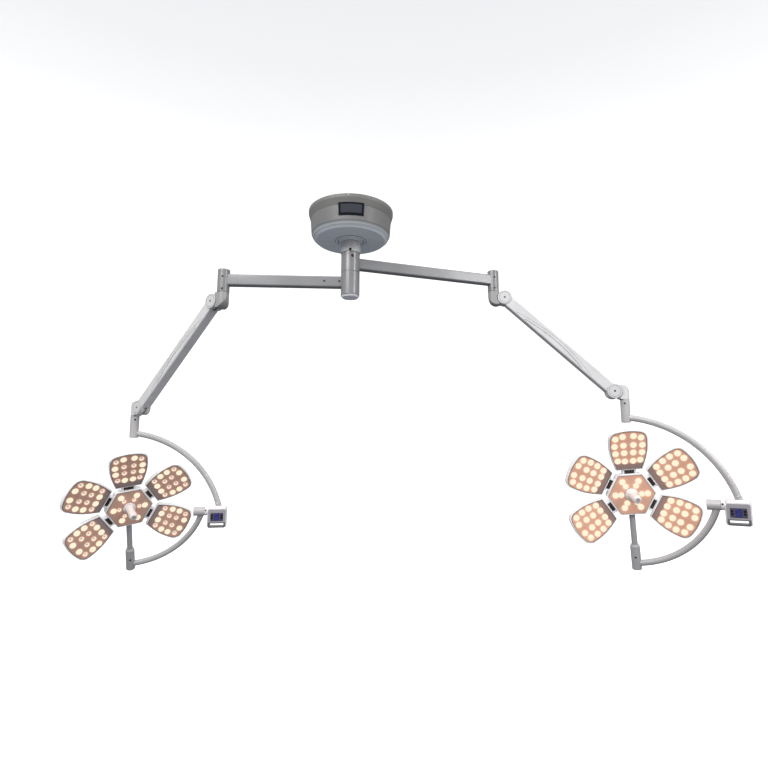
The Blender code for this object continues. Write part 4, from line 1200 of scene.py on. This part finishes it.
def lens_mesh(places, rows, look):
    vertices, faces, glow = [], [], []
    for x, z, radius in places:
        new_vertices, new_faces, new_glow = lens_part(rows, radius, x, z)
        start = len(vertices)
        vertices += new_vertices
        faces += [tuple(start + i for i in face) for face in new_faces]
        glow += new_glow
    mesh = bpy.data.meshes.new("lenses")
    mesh.from_pydata(vertices, [], faces)
    attribute = mesh.attributes.new("glow", "FLOAT", "POINT")
    attribute.data.foreach_set("value", glow)
    mesh.shade_smooth()
    mesh.materials.append(LOOKS[look])
    mesh["look"] = look
    return mesh


def panel_mesh(outline, leds, holes, look, rows, inner_edge=None):
    sheet = sheet_grid(dense_edge(outline), rows, 0.0070)
    if holes:
        sheet = cut(sheet, *[cylinder(radius * 0.95, -0.01, 0.02, "Y", 36, (x, 0, z)) for x, z, radius in holes])
    add_glow(sheet, leds, 0.006, inner_edge)
    sheet.shade_smooth()
    sheet.set_sharp_from_angle(angle=math.radians(30))
    sheet.materials.clear()
    sheet.materials.append(LOOKS[look])
    sheet["look"] = look
    return sheet


def hexagon_outline(grow):
    """Rounded hexagon with corners on the X axis."""
    radius = HEXAGON_RADIUS + grow / math.cos(math.pi / 6)
    corners = [(radius * math.cos(a), radius * math.sin(a), max(0.002, 0.010 + grow * 0.5))
               for a in (math.radians(60 * i) for i in range(6))]
    return rounded(corners, closed=True)


def centre_housing_mesh():
    rim = -0.0060
    profile = [(rim, 0.008), (rim, -0.0004), (rim + 0.0008, -0.0012), (-0.0010, -0.0012), (0.0, -0.0002),
               (0.0004, 0.012), (0.0, 0.030), (-0.0020, 0.046), (-0.007, 0.056), (-0.018, 0.0630),
               (-0.036, HEAD_DEPTH), (-0.040, HEAD_DEPTH)]
    return loft(hexagon_outline, profile)


def neck_mesh():
    """Short bridge from the hexagon to a petal, open in the middle for the hinge slot."""
    start = HEXAGON_RADIUS * math.cos(math.pi / 6) - 0.001
    end = PETAL_SIDE[0][0] - 0.002
    bridge = box((end - start, 0.024, 0.072), ((start + end) / 2, HEAD_FRONT + 0.0145, 0), 0.0025, 3)
    slot = box((NECK_SLOT[1], 0.020, 0.052), (start + 0.001 + NECK_SLOT[0], HEAD_FRONT, 0), 0.001, 2)
    return cut(bridge, slot)


def slot_meshes():
    start = HEXAGON_RADIUS * math.cos(math.pi / 6) + NECK_SLOT[0]
    # Two nested boxes in the hinge slot, brown at the edge and near-black in the middle: painted shade.
    lining = box((NECK_SLOT[1] - 0.0006, 0.0016, 0.0514), (start, HEAD_FRONT + 0.0088, 0), 0.0006, 2)
    core = box((NECK_SLOT[1] - 0.0040, 0.0016, 0.0470), (start, HEAD_FRONT + 0.0080, 0), 0.0006, 2)
    hinge = joined(*[cylinder(0.0026, z - 0.007, z + 0.007, "Z", 24, (start, HEAD_FRONT + 0.0062, 0), 0.0006)
                     for z in (-0.014, 0.014)])
    return shaded(lining, "slot_edge"), shaded(core, "slot_dark"), shaded(hinge, "dark_steel")


def handle_mesh():
    """Removable grip on a flange, pointing along -Y from the light panel."""
    length = HANDLE_LENGTH
    profile = [
        (0, 0.002), (0.034, 0.0, 0.001), (0.034, -0.0060, 0.0025), (0.0275, -0.0105, 0.002),
        (0.0225, -0.0135, 0.003), (0.0205, -0.0240, 0.006), (0.0196, -length * 0.50, 0.03),
        (0.0212, -length + 0.024, 0.008), (0.0212, -length + 0.0165, 0.0008), (0.0200, -length + 0.0160, 0.0004),
        (0.0200, -length + 0.0145, 0.0004), (0.0208, -length + 0.0140, 0.0006), (0.0190, -length + 0.004, 0.006),
        (0.0130, -length + 0.0004, 0.004), (0, -length + 0.0004),
    ]
    mesh = turned(profile)
    mesh.transform(Matrix.Rotation(-math.pi / 2, 4, "X"))
    flutes = []
    for index in range(8):
        angle = 2 * math.pi * (index + 0.5) / 8
        path = [(0.0262 * math.cos(angle), -y, 0.0262 * math.sin(angle)) for y in (0.032, 0.050, 0.068, 0.082)]
        flutes.append(tube(path, 0.0058, 4))
    return cut(mesh, *flutes)


def handle_tip_mesh():
    length = HANDLE_LENGTH
    mesh = turned([(0, -length), (0.0098, -length, 0.0012), (0.0118, -length + 0.0012, 0.0005),
                   (0.0118, -length + 0.003), (0, -length + 0.003)][::-1], steps=48)
    mesh.transform(Matrix.Rotation(-math.pi / 2, 4, "X"))
    return mesh


def head_meshes(side):
    panel = f"panel_{side}"
    focus_allowed = side == "left"
    petal = petal_leds()
    flood = [(x, z, LENS_RADIUS) for x, z, focus in petal if not (focus and focus_allowed)]
    narrow = [(x, z, LENS_RADIUS * 0.94) for x, z, focus in petal if focus and focus_allowed]
    hexagon = hexagon_leds()
    sizes = {True: HEX_LEDS[1][1] * (0.87 if focus_allowed else 1.0), False: HEX_LEDS[0][1]}
    hex_flood = [(x, z, sizes[focus]) for x, z, focus in hexagon if not (focus and focus_allowed)]
    hex_narrow = [(x, z, sizes[focus]) for x, z, focus in hexagon if focus and focus_allowed]
    front = HEAD_FRONT + 0.0004
    result = {
        "petal_panel": placed_petal(panel_mesh(petal_outline, petal, narrow, panel, 26, 0.166), front),
        "petal_flood": placed_petal(lens_mesh(flood, FLOOD_ROWS, "lens_flood"), front),
        "hex_panel": panel_mesh(lambda grow: hexagon_outline(grow - 0.0061), hexagon, hex_narrow, panel, 22),
        "hex_flood": lens_mesh(hex_flood, FLOOD_ROWS, "lens_flood"),
    }
    if focus_allowed:
        result["petal_focus"] = placed_petal(lens_mesh(narrow, FOCUS_ROWS, "lens_focus"), front)
        result["hex_focus"] = lens_mesh(hex_narrow, FOCUS_ROWS, "lens_focus")
    return result


def build_head(side, place, shared):
    body = f"head_{side}"
    meshes = head_meshes(side)
    centre = place @ Matrix.Translation((0, 0, HEAD_RISE))
    front = centre @ Matrix.Translation((0, HEAD_FRONT, 0))
    piece(f"hexagon_shell_{side}", shared["hexagon"], body, front, [f"centre_housing_{side}"])
    panel_front = front @ Matrix.Translation((0, 0.0004, 0))
    piece(f"hexagon_panel_{side}", meshes["hex_panel"], body, panel_front, [f"centre_front_{side}"])
    piece(f"hexagon_rim_line_{side}", shared["hexagon_rim"], body, front)
    piece(f"hexagon_lenses_{side}", meshes["hex_flood"], body, panel_front)
    if "hex_focus" in meshes:
        piece(f"hexagon_focus_lenses_{side}", meshes["hex_focus"], body, panel_front)
    for petal, angle in PETALS.items():
        where = centre @ Matrix.Rotation(math.radians(-angle), 4, "Y")
        tag = f"{petal}_{side}"
        piece(f"petal_tray_{tag}", shared["petal"], body, where, [f"petal_shell_{tag}"])
        piece(f"petal_panel_{tag}", meshes["petal_panel"], body, where, [f"petal_front_{tag}"])
        piece(f"petal_lenses_{tag}", meshes["petal_flood"], body, where)
        if "petal_focus" in meshes:
            piece(f"petal_focus_lenses_{tag}", meshes["petal_focus"], body, where)
        piece(f"petal_neck_{tag}", shared["neck"], body, where)
        piece(f"petal_slot_lining_{tag}", shared["slot_edge_painted_shade"], body, where)
        piece(f"petal_slot_{tag}", shared["slot_core"], body, where)
        piece(f"petal_hinge_{tag}", shared["slot_hinge"], body, where)
        piece(f"petal_back_seam_{tag}", shared["petal_seam"], body, where)
        piece(f"petal_rim_line_{tag}", shared["petal_rim"], body, where)
        for number, (x, z) in enumerate(((0.178, 0.045), (0.178, -0.045), (0.310, 0.050), (0.310, -0.050)), 1):
            spot = petal_lean() @ facing((x, HEAD_FRONT + 0.0357, z), (0, 1, 0))
            piece(f"petal_screw_{number}_{tag}", COVER_SCREW, body, where @ spot)
    piece(f"hexagon_back_cover_{side}", shared["back_cover"], body, front)
    for index in range(6):
        angle = math.radians(60 * index + 30)
        spot = facing((0.056 * math.cos(angle), HEAD_DEPTH + 0.0040, 0.056 * math.sin(angle)), (0, 1, 0))
        piece(f"back_cover_screw_{index + 1}_{side}", COVER_SCREW, body, front @ spot)
    piece(f"stem_tube_{side}", shared["stem"], body, place, [f"stem_{side}"])
    piece(f"stem_collar_{side}", shared["stem_collar"], body, place)
    piece(f"handle_grip_{side}", shared["handle"], f"handle_{side}", front, [f"handle_{side}"])
    piece(f"handle_tip_{side}", shared["handle_tip"], f"handle_{side}", front)
    piece(f"handle_seam_{side}", shared["handle_seam"], f"handle_{side}", front)


def stem_mesh():
    floor = HEAD_RISE - HEXAGON_RADIUS * math.cos(math.pi / 6)
    top = SOCKET[0]
    return turned([(0, floor + 0.012), (STEM_RADIUS, floor + 0.012), (STEM_RADIUS, top + 0.0005, 0.0008),
                   (0.012, top + 0.0005), (0.012, top - 0.06), (0, top - 0.06)], steps=64)


def back_cover_mesh():
    """Low round cover behind the hexagon, over the head's bearing and cable entry."""
    return_profile = [(0, 0.0052), (0.030, 0.0052, 0.001), (0.032, 0.0038, 0.001), (0.064, 0.0038, 0.002),
                      (0.066, -0.004), (0, -0.004)]
    mesh = turned(return_profile)
    mesh.transform(Matrix.Translation((0, HEAD_DEPTH, 0)) @ Matrix.Rotation(-math.pi / 2, 4, "X"))
    return mesh


def shared_meshes():
    slot_edge_painted_shade, slot_core, slot_hinge = slot_meshes()
    seam = tube([(x, 0.0305, z) for x, z in petal_outline(0.0020)], 0.0008, 2, True)
    rim = tube([(x, -0.0006, z) for x, z in petal_outline(-0.0004)], 0.0019, 2, True)
    floor = HEAD_RISE - HEXAGON_RADIUS * math.cos(math.pi / 6)
    collar = turned([(STEM_RADIUS, floor + 0.001), (STEM_RADIUS + 0.004, floor + 0.001, 0.001),
                     (STEM_RADIUS + 0.004, floor - 0.006, 0.002), (STEM_RADIUS, floor - 0.009)], closed=True, steps=64)
    ring = tube([(x, -0.0004, z) for x, z in arc((0, 0), 0.0343, 0, 354, 60)], 0.0007, 2, True)
    return {
        "hexagon": shaded(centre_housing_mesh(), "shell_white", 40),
        "hexagon_rim": shaded(tube([(x, -0.0004, z) for x, z in hexagon_outline(-0.0062)], 0.0011, 2, True), "rim_line"),
        "petal": shaded(petal_shell_mesh(), "shell_white", 40),
        "petal_seam": shaded(placed_petal(seam), "seam"),
        "petal_rim": shaded(placed_petal(rim), "rim_line"),
        "neck": shaded(neck_mesh(), "shell_white"),
        "slot_edge_painted_shade": slot_edge_painted_shade, "slot_core": slot_core, "slot_hinge": slot_hinge,
        "back_cover": shaded(back_cover_mesh(), "shell_white"),
        "stem": shaded(stem_mesh(), "stem_grey"),
        "stem_collar": shaded(collar, "stem_grey"),
        "handle": shaded(handle_mesh(), "handle_white"),
        "handle_tip": shaded(handle_tip_mesh(), "handle_tip"),
        "handle_seam": shaded(ring, "seam"),
    }


def arm_meshes():
    result = {
        "upper_knuckle": shaded(upper_knuckle_mesh(), "knuckle"),
        "lower_knuckle": shaded(lower_knuckle_mesh(), "arm_white"),
        "beam": shaded(spring_arm_mesh(), "arm_white"),
        "disc": shaded(pivot_disc_mesh(), "disc_white"),
        "disc_rings": shaded(joined(*[tube([(x, y, z) for x, y in arc((0, 0), radius, 0, 354, 60)], 0.0006, 2, True)
                                      for radius, z in ((0.0314, 0.0027), (0.0403, 0.0004))]), "seam"),
        "pivot_screw": grub_screw(0.0044),
        "upper_bow": shaded(upper_bow_mesh(), "bow_white"),
        "lower_bow": shaded(lower_bow_mesh(), "bow_white"),
        "barrel": shaded(barrel_mesh(), "barrel_white"),
        "socket": shaded(socket_mesh(), "socket_grey"),
    }
    for number, sign in enumerate((-1, 1), 1):
        base = -BEAM_HEIGHT / 2 + 0.010
        result[f"line_{number}"] = shaded(arched_line(sign, 0.170, 0.590, 0.021, base, 0.0014), "seam")
        result[f"edge_{number}"] = shaded(arched_line(sign, 0.110, 0.660, 0.036, base, 0.0009), "arm_mid")
    return result


def build_side(side, shared, arms, control):
    places = side_frames(side)
    length = (point(f"elbow_turn_{side}") - point(f"hub_turn_{side}")).to_2d().length
    build_extension_arm(side, places["hub"], length)
    piece(f"elbow_cast_{side}", arms["upper_knuckle"], f"elbow_{side}", places["elbow"], [f"upper_knuckle_{side}"])
    build_spring_arm(side, places["lift"], arms)
    piece(f"level_cast_{side}", arms["lower_knuckle"], f"level_{side}", places["level"], [f"lower_knuckle_{side}"])
    body = f"upper_bow_{side}"
    piece(f"upper_bow_tube_{side}", arms["upper_bow"], body, places["swivel"], [f"upper_bow_{side}"])
    out = Vector((-0.45, -0.89, 0)) if side == "right" else Vector((0.45, -0.89, 0))
    out = (places["swivel"].to_3x3().inverted() @ out).normalized()
    for index, z in enumerate((-0.024,)):
        where = facing(out * SWIVEL_RADIUS + Vector((0, 0, z)), out)
        piece(f"swivel_screw_{index + 1}_{side}", SMALL_SCREW, body, places["swivel"] @ where)
    ring = tube([(x, y, 0.0) for x, y in arc((0, 0), SWIVEL_RADIUS - 0.0009, 0, 354, 60)], 0.0010, 2, True)
    piece(f"swivel_seam_{side}", shaded(ring, "seam_dark"), body, places["swivel"])
    build_control_unit(side, places["gimbal"], control)
    body = f"lower_bow_{side}"
    piece(f"lower_bow_tube_{side}", arms["lower_bow"], body, places["tilt"], [f"lower_bow_{side}"])
    piece(f"tilt_barrel_{side}", arms["barrel"], body, places["tilt"])
    piece(f"stem_socket_{side}", arms["socket"], body, places["tilt"])
    towards = (places["tilt"].to_3x3().inverted() @ Vector((-0.34 * places["tilt"].translation.x, -1, 0)))
    towards = Vector((towards.x, towards.y, 0)).normalized()
    where = facing(towards * SOCKET[2] + Vector((0, 0, SOCKET[0] * 0.52 + SOCKET[1] * 0.48)), towards)
    piece(f"socket_screw_{side}", SMALL_SCREW, body, places["tilt"] @ where)
    build_head(side, places["head"], shared)


# ------------------------------------------------------------------ floor, light and camera
def build_stage():
    """White floor that runs up into a round backdrop; only the camera sees it."""
    backdrop = turned([(0, -2.45), (16, -2.45, 6), (24, 14, 9), (0, 34)], steps=64)
    backdrop.flip_normals()
    floor = working_object(backdrop)
    floor.name = "studio_floor"
    backdrop.shade_smooth()
    result, tree, shader = material("studio_floor_paint")
    tone = ranged(tree, noise(tree, 0.8, 2.0), 0.86, 0.90)
    tree.links.new(tone, shader.inputs["Base Color"])
    shader.inputs["Roughness"].default_value = 0.9
    shader.inputs["Emission Color"].default_value = (1, 1, 1, 1)
    shader.inputs["Emission Strength"].default_value = 0.6
    backdrop.materials.append(result)
    floor.visible_diffuse = floor.visible_glossy = floor.visible_shadow = False

    world = bpy.context.scene.world or bpy.data.worlds.new("studio")
    bpy.context.scene.world = world
    world.use_nodes = True
    tree = world.node_tree
    background = tree.nodes["Background"]
    direction = add(tree, "ShaderNodeSeparateXYZ")
    tree.links.new(add(tree, "ShaderNodeTexCoord").outputs["Generated"], direction.inputs["Vector"])
    share = ranged(tree, direction.outputs["Z"], 0.0, 1.0, -0.02, 0.40)
    sky = blended(tree, share, (0.25, 0.26, 0.285), (0.97, 0.97, 0.97))
    behind = ranged(tree, direction.outputs["Y"], 1.0, 0.50, 0.10, 0.80)
    tree.links.new(blended(tree, 1.0, sky, behind, "MULTIPLY"), background.inputs["Color"])
    background.inputs["Strength"].default_value = 1.0


def area_light(name, place, target, size, power, colour=(1, 1, 1)):
    data = bpy.data.lights.new(name, "AREA")
    data.shape = "RECTANGLE"
    data.size, data.size_y = size
    data.energy = power
    data.color = colour
    item = bpy.data.objects.new(name, data)
    bpy.context.scene.collection.objects.link(item)
    item.visible_camera = False
    item.location = place
    item.rotation_euler = (Vector(target) - Vector(place)).to_track_quat("-Z", "Y").to_euler()
    return item


def build_lights():
    area_light("key_front", (-2.4, -4.0, 2.15), (-0.2, 0.1, -0.9), (3.0, 1.8), 200)
    area_light("fill_right", (3.9, -2.5, 0.9), (1.0, 0.1, -0.5), (1.2, 2.0), 82)
    area_light("floor_wash", (0.0, -1.0, 2.6), (0.0, 0.0, -2.0), (5.0, 5.0), 60)


def build_camera():
    data = bpy.data.cameras.new("camera")
    data.lens = 24.987
    data.sensor_width = 36.0
    data.clip_end = 100.0
    item = bpy.data.objects.new("camera", data)
    bpy.context.scene.collection.objects.link(item)
    item.location = (0.1782, -2.7689, -1.3286)
    item.rotation_euler = (math.radians(97.9032), math.radians(-0.1782), math.radians(-0.1369))
    bpy.context.scene.camera = item


# ------------------------------------------------------------------ build
ANCHOR_BOLT = hexagon_bolt(0.0095, 0.0065)
for node_name, look_name in (("ceiling_plate", "steel"), ("power_supply", "zinc")):
    node_mesh = frame["nodes"][node_name].data
    node_mesh.materials.clear()
    node_mesh.materials.append(LOOKS[look_name])
build_ceiling()
head_shapes = shared_meshes()
arm_shapes = arm_meshes()
control_shapes = control_meshes()
for side_name in SIDES:
    build_side(side_name, head_shapes, arm_shapes, control_shapes)
build_stage()
build_lights()
build_camera()
bpy.context.scene.view_settings.view_transform = "Standard"
